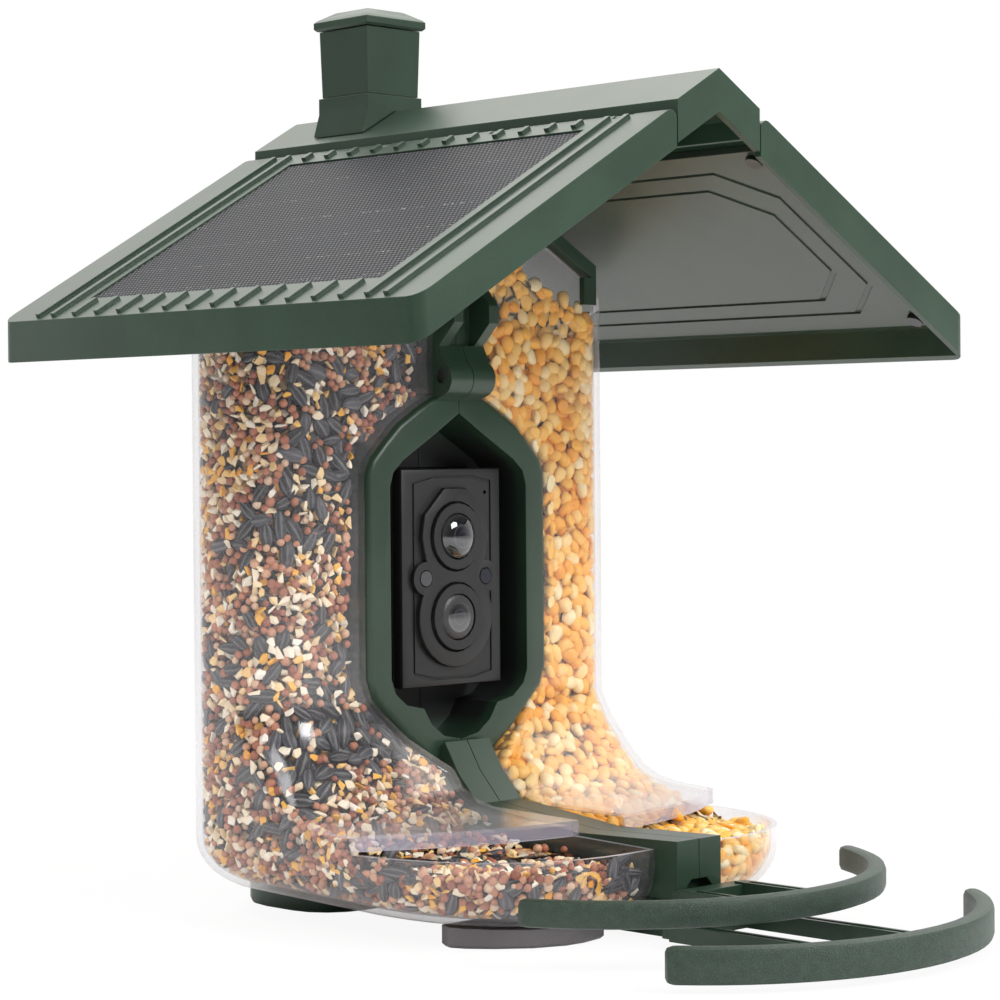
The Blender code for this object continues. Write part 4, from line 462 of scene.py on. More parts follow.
@dataclass(frozen=True)
class BrushedSteel(Finish):
    """Screws and pins: plated steel with fine turning marks."""

    colour: Colour = (0.52, 0.52, 0.50)

    def shader(self, shade: Shade) -> Value:
        """Adds the nodes.

        Args:
            shade: The material's nodes.

        Returns:
            The shader.
        """
        fine = shade.noise(0.25 * MM, 3.0)
        cloud = shade.noise(4 * MM, 2.0)
        colour = shade.mix(cloud.step(0.3, 0.7), tone(self.colour, 0.8), self.colour)
        normal = shade.bump(fine, 0.006 * MM, shade.soft_edges(0.15 * MM))
        return shade.principled(Base_Color=colour, Metallic=1.0, Roughness=fine * 0.2 + 0.26, Normal=normal)


@dataclass(frozen=True)
class CoatedLens(Finish):
    """A lens: black glass with faint coloured rings round its centre, which are painted reflections of its coating and
    of the rings inside it.
    """

    centre: Point
    radius: float
    glass: float = 1.0
    rim_colour: Colour = (0.018, 0.018, 0.019)
    # The pale and violet rings are painted reflections of the coating and of the rings inside the lens.
    rings: Stops = (
        (0.0, (0.004, 0.004, 0.006)), (0.20, (0.002, 0.002, 0.003)), (0.24, (0.030, 0.026, 0.045)),
        (0.30, (0.004, 0.004, 0.008)), (0.46, (0.010, 0.012, 0.016)), (0.50, (0.050, 0.050, 0.058)),
        (0.55, (0.008, 0.008, 0.010)), (0.80, (0.012, 0.012, 0.013)), (0.94, (0.040, 0.040, 0.042)),
    )

    def shader(self, shade: Shade) -> Value:
        """Adds the nodes.

        Args:
            shade: The material's nodes.

        Returns:
            The shader.
        """
        x, _, z = shade.split(shade.place())
        across = ((x - self.centre[0]) ** 2.0 + (z - self.centre[2]) ** 2.0) ** 0.5 / (self.radius * self.glass)
        rim = across.step(1.0, 1.05)
        smear = shade.noise(2 * MM, 3.0)
        return shade.principled(
            Base_Color=shade.mix(rim, shade.ramp(across, self.rings), self.rim_colour),
            Roughness=smear * 0.02 + rim * 0.4 + 0.015,
            Normal=shade.bump(smear, 0.002 * MM),
            IOR=1.6,
            Coat_Weight=1.0 - rim,
            Coat_Roughness=0.01,
        )


@dataclass(frozen=True)
class CircuitBoard(Finish):
    """Green board with tracks, pads and a few dark chips."""

    def shader(self, shade: Shade) -> Value:
        """Adds the nodes.

        Args:
            shade: The material's nodes.

        Returns:
            The shader.
        """
        place = shade.place()
        tracks = {"Vector": place, "Scale": 90.0, "Mortar Size": 0.02, "Color1": (0.0, 0.0, 0.0), "Color2": WHITE}
        brick = shade.node("ShaderNodeTexBrick", {}, tracks, "Fac")
        cells = shade.node("ShaderNodeTexVoronoi", {"distance": "CHEBYCHEV"}, {"Vector": place, "Scale": 160.0})
        colour = shade.mix(brick, (0.012, 0.07, 0.028), (0.03, 0.13, 0.05))
        colour = shade.mix(1.0 - cells.step(0.18, 0.2), colour, (0.55, 0.42, 0.16))
        normal = shade.bump(brick, 0.03 * MM)
        return shade.principled(Base_Color=colour, Roughness=brick * 0.1 + 0.35, Normal=normal)


@dataclass(frozen=True)
class SeedSkin(Finish):
    """Skin of one kind of seed, whose grain attribute holds its own shade, length and girth."""

    stops: Stops
    stripe: float
    roughness: float
    stripe_colour: Colour = (0.30, 0.29, 0.27)
    patch: float = 2.2 * MM

    def shader(self, shade: Shade) -> Value:
        """Adds the nodes.

        Args:
            shade: The material's nodes.

        Returns:
            The shader.
        """
        grain = shade.node("ShaderNodeAttribute", {"attribute_name": "grain"}, {}, "Vector")
        own, along, around = shade.split(grain)
        cloud = shade.noise(self.patch, 3.0)
        colour = shade.ramp(own + (cloud - 0.5) * 0.22, self.stops)
        lines = ((around * (2 * pi * 7.0) + cloud * 2.0).cosine() * 0.5 + 0.5) ** 3.0
        ends = (abs(along - 0.5) * 2.0).step(0.98, 0.6)
        colour = shade.mix(lines * ends * self.stripe, colour, self.stripe_colour)
        fine = shade.noise(0.4 * MM, 2.0)
        colour = shade.mix(fine.step(0.6, 0.85) * 0.25, colour, (0.85, 0.8, 0.7))
        rough = (cloud - 0.5) * 0.2 + self.roughness
        normal = shade.bump(fine * 0.5 + lines * self.stripe, 0.08 * MM)
        return shade.principled(Base_Color=colour, Roughness=rough, Normal=normal)


@dataclass(frozen=True)
class SeedBed(Finish):
    """The mass of seed behind the first layers: cells of the seeds' colours painted darker as shade, with painted shade
    in the gaps between them.
    """

    stops: Stops
    cell: float

    def shader(self, shade: Shade) -> Value:
        """Adds the nodes.

        Args:
            shade: The material's nodes.

        Returns:
            The shader.
        """
        inputs = {"Vector": shade.place(), "Scale": 1.0 / self.cell}
        cells = shade.node("ShaderNodeTexVoronoi", {}, inputs, "Color")
        near = shade.node("ShaderNodeTexVoronoi", {"feature": "DISTANCE_TO_EDGE"}, inputs)
        pick, _, _ = shade.split(cells)
        colour = shade.ramp(pick, self.stops, "CONSTANT")
        # Painted shade: the gaps between cells go near black, as the deep crevices between seeds.
        colour = shade.mix(near.step(0.02, 0.2), (0.01, 0.008, 0.007), colour)
        normal = shade.bump(near.step(0.0, 0.5), 1.2 * MM)
        return shade.principled(Base_Color=colour, Roughness=0.7 - near * 0.2, Normal=normal)


@dataclass(frozen=True)
class PaleFloor(Finish):
    """Pale studio floor that keeps the feeder's shadow and meets the white behind it."""

    name: str = "studio_floor"

    def shader(self, shade: Shade) -> Value:
        """Adds the nodes.

        Args:
            shade: The material's nodes.

        Returns:
            The shader.
        """
        cloud = shade.noise(400 * MM, 2.0)
        colour = shade.mix(cloud, (0.90, 0.90, 0.90), (0.93, 0.93, 0.93))
        base = shade.principled(Base_Color=colour, Roughness=0.9)
        light = shade.node("ShaderNodeEmission", {}, {"Color": WHITE, "Strength": 1.0})
        reach = shade.node("ShaderNodeVectorMath", {"operation": "LENGTH"}, {0: shade.place()}, "Value")
        return shade.blend(shade.ray("Camera") * (reach.step(0.22, 0.55) * 0.08 + 0.92), base, light)


GREEN_PLASTIC = MouldedPlastic("green_moulding", (0.0155, 0.037, 0.0205), 0.36)
# The frame halves take a near-black painted shade inside the camera's pocket.
PAINTED_POCKET_SHADE_PLASTIC = replace(GREEN_PLASTIC, name="green_moulding_pocket", pocket=True)
LINER_PLASTIC = MouldedPlastic("liner_moulding", (0.040, 0.055, 0.040), 0.33, grain=0.8 * MM)
PERCH_PLASTIC = LeatherGrain("perch_grain", (0.029, 0.055, 0.037), cell=0.75 * MM, depth=0.07 * MM)
BLACK_PLASTIC = MouldedPlastic("camera_black", (0.008, 0.008, 0.0085), 0.46, grain=0.35 * MM, depth=0.02 * MM, edge_highlight=0.3)
BLACK_RUBBER = MouldedPlastic("seal_rubber", (0.012, 0.012, 0.012), 0.7, edge_highlight=0.05)
FOOT_PLASTIC = MouldedPlastic("foot_frosted", (0.10, 0.093, 0.098), 0.38, grain=0.5 * MM, depth=0.006 * MM, edge_highlight=0.3)
CLEAR = ClearPlastic("hopper_clear", 0.02, 0.42)
CLEAR_EDGE = ClearPlastic("hopper_edge", 0.34, 0.5, body=(0.60, 0.57, 0.62), gloss=0.16)
CLEAR_LIP = ClearPlastic("hopper_lip", 0.30, 0.5, body=(0.50, 0.47, 0.58), gloss=0.12)
STEEL = BrushedSteel("plated_steel")
DARK_STEEL = BrushedSteel("blackened_steel", (0.10, 0.10, 0.10))
BATTERY = MouldedPlastic("battery_sleeve_blue", (0.03, 0.07, 0.22), 0.4, edge_highlight=0.05)
BOARD = CircuitBoard("camera_board")


# Mesh tools


def add_object(name: str, data: bpy.types.ID) -> bpy.types.Object:
    """New object in the scene.

    Args:
        name: Its name.
        data: Its mesh, camera or light.

    Returns:
        The object.
    """
    piece = bpy.data.objects.new(name, data)
    bpy.context.scene.collection.objects.link(piece)
    return piece


def add_mesh(name: str, verts: np.ndarray | list, faces: list, materials: list) -> bpy.types.Object:
    """New object from points and faces.

    Args:
        name: The piece's name.
        verts: Points in metres.
        faces: Corner indices of each face.
        materials: Its materials.

    Returns:
        The object.
    """
    mesh = bpy.data.meshes.new(name)
    mesh.from_pydata([tuple(v) for v in verts], [], faces)
    for material in materials:
        mesh.materials.append(material)
    return add_object(name, mesh)


def smooth_by_angle_group(angle: float) -> bpy.types.NodeTree:
    """Geometry nodes that shade a mesh smooth and keep edges sharper than an angle.

    Args:
        angle: The sharpest edge that stays smooth, in radians.

    Returns:
        The node group.
    """
    name = f"smooth_to_{round(angle * 1000)}"
    if name in bpy.data.node_groups:
        return bpy.data.node_groups[name]
    group = bpy.data.node_groups.new(name, "GeometryNodeTree")
    for way in ("INPUT", "OUTPUT"):
        group.interface.new_socket("Geometry", in_out=way, socket_type="NodeSocketGeometry")
    kinds = ("NodeGroupInput", "NodeGroupOutput", "GeometryNodeInputMeshEdgeAngle", "FunctionNodeCompare")
    start, end, turn, sharp = (group.nodes.new(kind) for kind in kinds)
    faces, edges = (group.nodes.new("GeometryNodeSetShadeSmooth") for _ in range(2))
    edges.domain = "EDGE"
    edges.inputs["Shade Smooth"].default_value = False
    sharp.data_type, sharp.operation = "FLOAT", "GREATER_THAN"
    sharp.inputs[1].default_value = angle
    for output, socket in (
        (turn.outputs["Unsigned Angle"], sharp.inputs[0]),
        (sharp.outputs[0], edges.inputs["Selection"]),
        (start.outputs[0], faces.inputs[0]),
        (faces.outputs[0], edges.inputs[0]),
        (edges.outputs[0], end.inputs[0]),
    ):
        group.links.new(output, socket)
    return group


def soften(piece: bpy.types.Object, degrees: float = 32.0, weld: bool = True) -> None:
    """Shades a piece smooth across its gentle edges, with modifiers alone.

    Args:
        piece: A CAD node or a new piece.
        degrees: The sharpest edge that stays smooth.
        weld: Whether its corners are joined first.
    """
    if "custom_normal" in piece.data.attributes:
        piece.data.attributes.remove(piece.data.attributes["custom_normal"])
    if weld:
        joined = piece.modifiers.new("weld", "WELD")
        joined.merge_threshold = 0.002 * MM
    shaded = piece.modifiers.new("smooth_by_angle", "NODES")
    shaded.node_group = smooth_by_angle_group(radians(degrees))


def dress(plan: dict[str, Finish], degrees: float = 32.0) -> list[str]:
    """Gives CAD nodes their finishes and their smooth shading.

    Args:
        plan: Finish by node.
        degrees: The sharpest edge that stays smooth.

    Returns:
        The nodes' names.
    """
    for node, finish in plan.items():
        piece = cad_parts[node]
        for slot in piece.material_slots:
            slot.material = finish.make()
        soften(piece, degrees)
    return list(plan)


def applied(piece: bpy.types.Object) -> None:
    """Turns a new piece's modifiers into its mesh.

    Args:
        piece: The piece.
    """
    graph = bpy.context.evaluated_depsgraph_get()
    mesh = bpy.data.meshes.new_from_object(piece.evaluated_get(graph))
    old = piece.data
    piece.modifiers.clear()
    piece.data = mesh
    bpy.data.meshes.remove(old)


def drawn_in(piece: bpy.types.Object, depth: float) -> None:
    """Draws a new piece's surface in by a depth.

    Args:
        piece: The piece.
        depth: The depth in metres.
    """
    shift = piece.modifiers.new("drawn_in", "DISPLACE")
    shift.strength = -depth
    shift.mid_level = 0.0
    applied(piece)


def arc(centre: tuple[float, float], radius: float, start: float, end: float, count: int) -> Plan:
    """Points along an arc, both ends included.

    Args:
        centre: Its centre.
        radius: Its radius.
        start: First angle in radians.
        end: Last angle in radians.
        count: Number of points.

    Returns:
        The points.
    """
    turns = [start + (end - start) * i / (count - 1) for i in range(count)]
    return [(centre[0] + radius * cos(t), centre[1] + radius * sin(t)) for t in turns]


def along(table: Table, value: float) -> float:
    """Straight interpolation in a rising table of key and value."""
    return float(np.interp(value, [k for k, _ in table], [v for _, v in table]))


# Hoppers


@dataclass
class HopperShape:
    """Sizes of a hopper: a tall rounded box whose front sweeps out over a bowl-shaped tray."""

    inner_x: float = 10.5 * MM
    outer_x: float = 83.0 * MM
    front_y: float = -32.8 * MM
    back_y: float = 18.0 * MM
    corner: float = 21.0 * MM
    wall: float = 2.0 * MM
    rim_z: float = 27.9 * MM
    lip_low: float = 29.1 * MM
    lip_top: float = 34.0 * MM
    lip_front_y: float = -99.0 * MM
    lip_radius: float = 145.0 * MM
    lip_end: float = 6.0 * MM
    tray_x: float = 24.1 * MM
    tray_y: float = -61.8 * MM
    tray_reach: float = 70.4 * MM
    tray_power: float = 2.3
    fillet: float = 16.4 * MM
    sweep_top: float = 66.0 * MM
    sweep_side_x: float = 64.0 * MM
    top_z: float = 247.1 * MM
    slope: float = 0.57324
    mouth_bulge: float = 5.0 * MM
    floor_front_y: float = -132.2 * MM
    floor_length: float = 150.2 * MM
    floor_low: float = 5.6 * MM
    floor_rise: float = 4.4 * MM
    ring_gap: float = 0.5 * MM
    ring_span: tuple[float, float] = (46.2 * MM, 169.7 * MM)
    inner_ends: tuple[float, float] = (7.5 * MM, 6.5 * MM)
    inner_count: int = 3
    lip_corner_count: int = 10
    lip_height: float = 2.4 * MM
    side_front_y: float = -11.0 * MM
    inner_inset: float = 0.3
    seed_gap: float = 0.15 * MM
    fillet_turns: tuple[int, ...] = (90, 78, 66, 54, 42, 30, 20, 10, 0)
    sweep_shares: tuple[float, ...] = (
        0.0, 0.018, 0.035, 0.06, 0.09, 0.13, 0.19, 0.25, 0.31, 0.375, 0.46, 0.58, 0.71, 0.85, 1.0
    )
    wall_heights: tuple[float, ...] = (
        70.4, 77.0, 90.0, 110.5, 130.0, 144.0, 149.0, 155.0, 160.5, 166.0, 169.9, 180.0
    )
    front_count: int = 44
    corner_count: int = 22
    centre_share: Table = (
        (0.0, 1.0), (0.035, 0.42), (0.09, 0.30), (0.19, 0.21), (0.375, 0.135), (0.71, 0.035), (1.0, 0.0)
    )
    side_share: Table = (
        (0.0, 1.0), (0.035, 0.71), (0.09, 0.54), (0.19, 0.41), (0.375, 0.285), (0.71, 0.10), (1.0, 0.0)
    )
    ring: Table = (
        (46.0, 10.5), (48.0, 13.0), (56.7, 24.5), (64.0, 32.0), (70.4, 38.6), (77.0, 41.1),
        (144.0, 41.1), (149.0, 39.0), (155.0, 33.0), (160.5, 27.0), (166.0, 18.0), (169.9, 10.5),
    )

    def notch(self, z: float) -> float:
        """X of the inner wall at a height, out past the camera's ring."""
        reach = along([(h * MM, x * MM) for h, x in self.ring], z)
        return reach + self.ring_gap if self.ring_span[0] < z < self.ring_span[1] else self.inner_x

    def top(self, x: float) -> float:
        """Height of the mouth."""
        return self.top_z - self.slope * x

    def floor(self, y: float) -> float:
        """Height of the floor."""
        return self.floor_low + self.floor_rise * (y - self.floor_front_y) / self.floor_length

    def inner(self, x: float) -> Plan:
        """Plan of the inner wall, from the rear forwards."""
        return [(self.inner_x, self.back_y), (self.inner_x, self.inner_ends[0]), (x, self.inner_ends[1])]

    @property
    def front_points(self) -> range:
        """Places of the front's points in a ring."""
        return range(self.inner_count, self.inner_count + self.front_count)

    def rear(self) -> Plan:
        """Plan of the side, the rear corner and the rear wall.

        Returns:
            Its points.
        """
        centre = (self.outer_x - self.corner, self.back_y - self.corner)
        wall = [(x, self.back_y) for x in np.linspace(centre[0], self.inner_x, 5)[1:-1]]
        side = [(self.outer_x, y) for y in np.linspace(self.side_front_y, centre[1], 4)[:-1]]
        return side + arc(centre, self.corner, 0.0, pi / 2, 14) + wall

    def front(self, x: float) -> Plan:
        """Plan of the front wall and its corner, from the inner wall outwards.

        Args:
            x: Where the inner wall stands.

        Returns:
            Its points.
        """
        centre = (self.outer_x - self.corner, self.front_y + self.corner)
        flat = self.front_count - self.corner_count
        wall = [(x + (centre[0] - x) * i / flat, self.front_y) for i in range(flat)]
        return wall + arc(centre, self.corner, -pi / 2, 0.0, self.corner_count)

    def outline(self, x: float, front: Plan, z: float) -> list[Point]:
        """Ring at a height, from the inner wall by the front and the side to the rear."""
        return [(px, py, z) for px, py in self.inner(x) + front + self.rear()]

    def lip(self) -> Plan:
        """Plan of the lip's front edge.

        Returns:
            Its points.
        """
        turn = self.outer_x - self.lip_end
        straight = self.front_count - self.lip_corner_count

        def edge(x: float) -> float:
            """Y of the edge at an X."""
            return self.lip_front_y + self.lip_radius - sqrt(self.lip_radius**2 - x**2)

        points = [(x, edge(x)) for x in np.linspace(self.inner_x, turn, straight)]
        corner = (turn, edge(turn) + self.lip_end)
        return points + arc(corner, self.lip_end, -pi / 2, 0.0, self.lip_corner_count + 1)[1:]

    def tray(self) -> Plan:
        """Plan of the tray's rim.

        Returns:
            Its points.
        """
        half = self.outer_x - self.tray_x
        power = 2 / self.tray_power
        side_y = self.lip()[-1][1]
        start = acos(-(((self.tray_x - self.inner_x) / half) ** (1 / power)))
        end = asin(((self.tray_y - side_y) / self.tray_reach) ** (1 / power))
        points = []
        for turn in np.linspace(start, end, self.front_count):
            across = abs(cos(turn)) ** power * (1 if cos(turn) > 0 else -1)
            points.append((self.tray_x + half * across, self.tray_y - self.tray_reach * sin(turn) ** power))
        return points


@dataclass
class Hopper:
    """One clear hopper with its tray, on the left or the right."""

    side: Side
    shape: HopperShape = field(default_factory=HopperShape)

    def rings(self) -> tuple[list[list[Point]], int]:
        """Rings of points over the outer surface.

        Returns:
            The rings from the floor up, and the index of the tray's rim.
        """
        s = self.shape
        tray, lip = s.tray(), s.lip()
        plan = s.inner(s.inner_x) + tray + s.rear()
        front_end = s.tray_y - s.tray_reach
        rings: list[list[Point]] = []
        for degrees in s.fillet_turns:
            inset = s.fillet * (1 - cos(radians(degrees)))
            rise = s.fillet * (1 - sin(radians(degrees)))
            ring = []
            for x, y in plan:
                share_x = (x - s.inner_x) / (s.outer_x - s.inner_x)
                share_y = (y - front_end) / (s.back_y - front_end)
                new_x = x + inset * (s.inner_inset * (1 - share_x) - share_x)
                new_y = y + inset * (1 - 2 * share_y)
                ring.append((new_x, new_y, s.floor(new_y) + rise))
            rings.append(ring)
        rings.append([(x, y, s.rim_z) for x, y in plan])
        rim = len(rings) - 1
        for z in (s.lip_low, s.lip_low + s.lip_height):
            rings.append(s.outline(s.inner_x, lip, z))
        for share in s.sweep_shares:
            z = s.lip_top + (s.sweep_top - s.lip_top) * share
            inner_x = s.notch(z)
            centre, side = along(s.centre_share, share), along(s.side_share, share)
            front = []
            for (x0, y0), (x1, y1) in zip(s.front(inner_x), lip):
                drawn = centre + (side - centre) * along(((s.inner_x, 0.0), (s.sweep_side_x, 1.0)), x1)
                front.append((x0 + (max(x1, inner_x) - x0) * drawn, y0 + (y1 - y0) * drawn))
            rings.append(s.outline(inner_x, front, z))
        for z in s.wall_heights:
            inner_x = s.notch(z * MM)
            rings.append(s.outline(inner_x, s.front(inner_x), z * MM))
        rings.append([(x, y, s.top(x)) for x, y, _ in s.outline(s.inner_x, s.front(s.inner_x), 0.0)])
        return rings, rim

    def loft(self, name: str, rings: list[list[Point]], skip: set[int], closed: bool) -> bpy.types.Object:
        """Skin over rings.

        Args:
            name: The object's name.
            rings: The rings.
            skip: Levels left open over the front.
            closed: Whether the top is closed.

        Returns:
            The object, with its faces turned outwards.
        """
        count = len(rings[0])
        verts = [(self.side.value * x, y, z) for ring in rings for x, y, z in ring]
        front = self.shape.front_points[:-1]
        faces: list[list[int]] = []
        lip_faces = []
        for level in range(len(rings) - 1):
            for i in range(count):
                if level in skip and i in front:
                    continue
                if i in front and {level - 1, level - 2} & skip:
                    lip_faces.append(len(faces))
                j = (i + 1) % count
                face = [level * count + i, level * count + j, (level + 1) * count + j, (level + 1) * count + i]
                faces.append(face[:: self.side.value])
        faces.append(list(range(count))[:: -self.side.value])
        if closed:
            faces.append(list(range((len(rings) - 1) * count, len(rings) * count))[:: self.side.value])
        piece = add_mesh(name, verts, faces, [look.make() for look in (CLEAR, CLEAR_EDGE, CLEAR_LIP)])
        for index in lip_faces:
            piece.data.polygons[index].material_index = 2
        return piece

    def build(self) -> bpy.types.Object:
        """Makes the hopper and lets it stand for the CAD one.

        Returns:
            The hopper's piece.
        """
        rings, rim = self.rings()
        piece = self.loft(f"{self.side.word}_clear_hopper", rings, {rim}, False)
        wall = piece.modifiers.new("wall", "SOLIDIFY")
        wall.thickness = self.shape.wall
        wall.offset = -1.0
        wall.material_offset_rim = 1
        applied(piece)
        soften(piece, 40.0, weld=False)
        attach(piece, "feeder")
        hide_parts(f"{self.side.word}_hopper")
        return piece

    def inside(self) -> bpy.types.Object:
        """Solid that fills the hopper and its tray up to the walls, for placing seed.

        Returns:
            The solid.
        """
        rings, rim = self.rings()
        low, high = rings[rim], rings[rim + 1]
        between = []
        for share in (0.15, 0.35, 0.55, 0.75, 0.9):
            ring = []
            for i, (p, q) in enumerate(zip(low, high)):
                x, y, z = (a + (b - a) * share for a, b in zip(p, q))
                bulge = self.shape.mouth_bulge * sin(pi * share) if i in self.shape.front_points else 0.0
                ring.append((x, y, z + bulge))
            between.append(ring)
        piece = self.loft("inside", rings[: rim + 1] + between + rings[rim + 1 :], set(), True)
        drawn_in(piece, self.shape.wall + self.shape.seed_gap)
        return piece


# Seed


@dataclass(frozen=True)
class Mix:
    """Seed in one hopper: its kinds with their share, and how high it lies."""

    kinds: tuple[tuple[Seed, float], ...]
    bed: SeedBed
    tray_level: float
    tray_heap: float
    below_mouth: float
    outer_rise: float
    spacing: float


SKINS = {
    Seed.SUNFLOWER: SeedSkin(
        "sunflower_hull",
        ((0.0, (0.008, 0.009, 0.013)), (0.6, (0.024, 0.027, 0.036)), (1.0, (0.075, 0.08, 0.095))),
        0.45,
        0.42,
    ),
    Seed.MILO: SeedSkin(
        "milo_skin",
        ((0.0, (0.30, 0.085, 0.045)), (0.5, (0.50, 0.19, 0.10)), (0.8, (0.64, 0.34, 0.20)), (1.0, (0.82, 0.62, 0.42))),
        0.0,
        0.45,
    ),
    Seed.CHIP: SeedSkin(
        "chip_meal",
        (
            (0.0, (0.97, 0.91, 0.78)), (0.45, (0.95, 0.80, 0.55)), (0.7, (0.93, 0.64, 0.28)),
            (0.85, (0.95, 0.52, 0.07)), (1.0, (0.90, 0.40, 0.03)),
        ),
        0.0,
        0.6,
    ),
    Seed.KERNEL: SeedSkin(
        "kernel_skin",
        ((0.0, (1.0, 0.86, 0.52)), (0.2, (1.0, 0.68, 0.22)), (0.6, (1.0, 0.52, 0.06)), (1.0, (0.96, 0.40, 0.02))),
        0.0,
        0.42,
        patch=3.0 * MM,
    ),
}
RADII = {Seed.SUNFLOWER: 2.8 * MM, Seed.MILO: 1.28 * MM, Seed.CHIP: 1.45 * MM, Seed.KERNEL: 2.25 * MM}


class SeedForms:
    """Templates of each kind of seed: points, faces and the grain attribute of each point."""

    def __init__(self) -> None:
        """Makes every template from one seeded source."""
        self.random = np.random.default_rng(7)
        self.forms = {
            Seed.SUNFLOWER: [
                self.hull(10.4 * MM * s, 5.2 * MM * w, 3.3 * MM) for s, w in ((1, 1), (0.9, 1.05), (1.08, 0.92))
            ],
            Seed.MILO: [self.ball(1.4 * MM * s, 8, 4) for s in (1.0, 0.85, 1.15)],
            Seed.CHIP: [self.stone((2.4, 1.8, 1.2), 12) for _ in range(9)],
            Seed.KERNEL: [self.kernel() for _ in range(14)],
        }

    def hull(self, length: float, width: float, thick: float) -> Form:
        """Sunflower seed: a drop, blunt at one end and pointed at the other.

        Args:
            length: Its length.
            width: Its width.
            thick: Its thickness.

        Returns:
            The template.
        """
        places = [(-0.5, 0.05), (-0.46, 0.34), (-0.34, 0.74), (-0.12, 1.0)]
        places += [(0.12, 0.92), (0.32, 0.6), (0.45, 0.28), (0.5, 0.05)]
        return self.lathe([(p * length, r * width / 2, r * thick / 2) for p, r in places], 8)

    def ball(self, radius: float, sides: int, levels: int) -> Form:
        """Round seed."""
        turns = np.linspace(0.12, pi - 0.12, levels + 1)
        return self.lathe([(-radius * cos(t), radius * sin(t), radius * sin(t)) for t in turns], sides)

    def lathe(self, levels: list[Point], sides: int) -> Form:
        """Skin round the X axis.

        Args:
            levels: Place, half width and half thickness of each level.
            sides: Number of points round each.

        Returns:
            The template.
        """
        verts, grain, faces = [], [], []
        length = levels[-1][0] - levels[0][0]
        for place, half_y, half_z in levels:
            for side in range(sides):
                turn = 2 * pi * side / sides
                verts.append((place, half_y * cos(turn), half_z * sin(turn)))
                grain.append(((place - levels[0][0]) / length, side / sides))
        for level in range(len(levels) - 1):
            for side in range(sides):
                j = (side + 1) % sides
                low, high = level * sides, (level + 1) * sides
                faces.append((low + side, low + j, high + j, high + side))
        faces.append(tuple(range(sides))[::-1])
        faces.append(tuple((len(levels) - 1) * sides + side for side in range(sides)))
        return np.array(verts), [f[::-1] for f in faces], np.array(grain)

    def kernel(self) -> Form:
        """Cracked maize: a flattened drop, dented, and broken off along a plane or two.

        Returns:
            The template.
        """
        length, width, thick = self.random.uniform((5.6, 4.9, 3.3), (7.4, 6.2, 4.4)) * MM
        places = [(-0.5, 0.32), (-0.36, 0.84), (-0.04, 1.0), (0.32, 0.80), (0.5, 0.28)]
        verts, faces, grain = self.lathe([(p * length, r * width / 2, r * thick / 2) for p, r in places], 7)
        start = self.random.uniform(0, 50, size=3)
        for row in verts:
            row *= 1 + 0.22 * noise.noise(Vector(row / (3.4 * MM) + start))
        for _ in range(2):
            way = self.random.normal(size=3)
            way /= np.linalg.norm(way)
            reach = (verts @ way).max()
            verts -= np.maximum(verts @ way - reach * self.random.uniform(0.5, 0.95), 0.0)[:, None] * way
        return verts, faces, grain

    def stone(self, halves: Point, count: int) -> Form:
        """Broken grain: the hull of random points on a flattened ball, cut by a plane or two.

        Args:
            halves: Its half sizes in millimetres.
            count: Number of random points.

        Returns:
            The template.
        """
        points = self.random.normal(size=(count, 3))
        points /= np.linalg.norm(points, axis=1)[:, None]
        points *= self.random.uniform(0.82, 1.12, size=(count, 1))
        for _ in range(2):
            way = self.random.normal(size=3)
            way /= np.linalg.norm(way)
            past = np.maximum(points @ way - self.random.uniform(0.45, 0.7), 0.0)
            points -= past[:, None] * way
        points *= np.array(halves) * MM
        bm = bmesh.new()
        for point in points:
            bm.verts.new(point)
        bmesh.ops.convex_hull(bm, input=bm.verts)
        bmesh.ops.delete(bm, geom=[v for v in bm.verts if not v.link_faces], context="VERTS")
        bmesh.ops.recalc_face_normals(bm, faces=bm.faces)
        bm.verts.index_update()
        verts = np.array([v.co[:] for v in bm.verts])
        faces = [tuple(v.index for v in f.verts) for f in bm.faces]
        bm.free()
        grain = np.column_stack([(verts[:, 0] / (halves[0] * MM) + 1) / 2, (verts[:, 1] / (halves[1] * MM) + 1) / 2])
        return verts, faces, grain


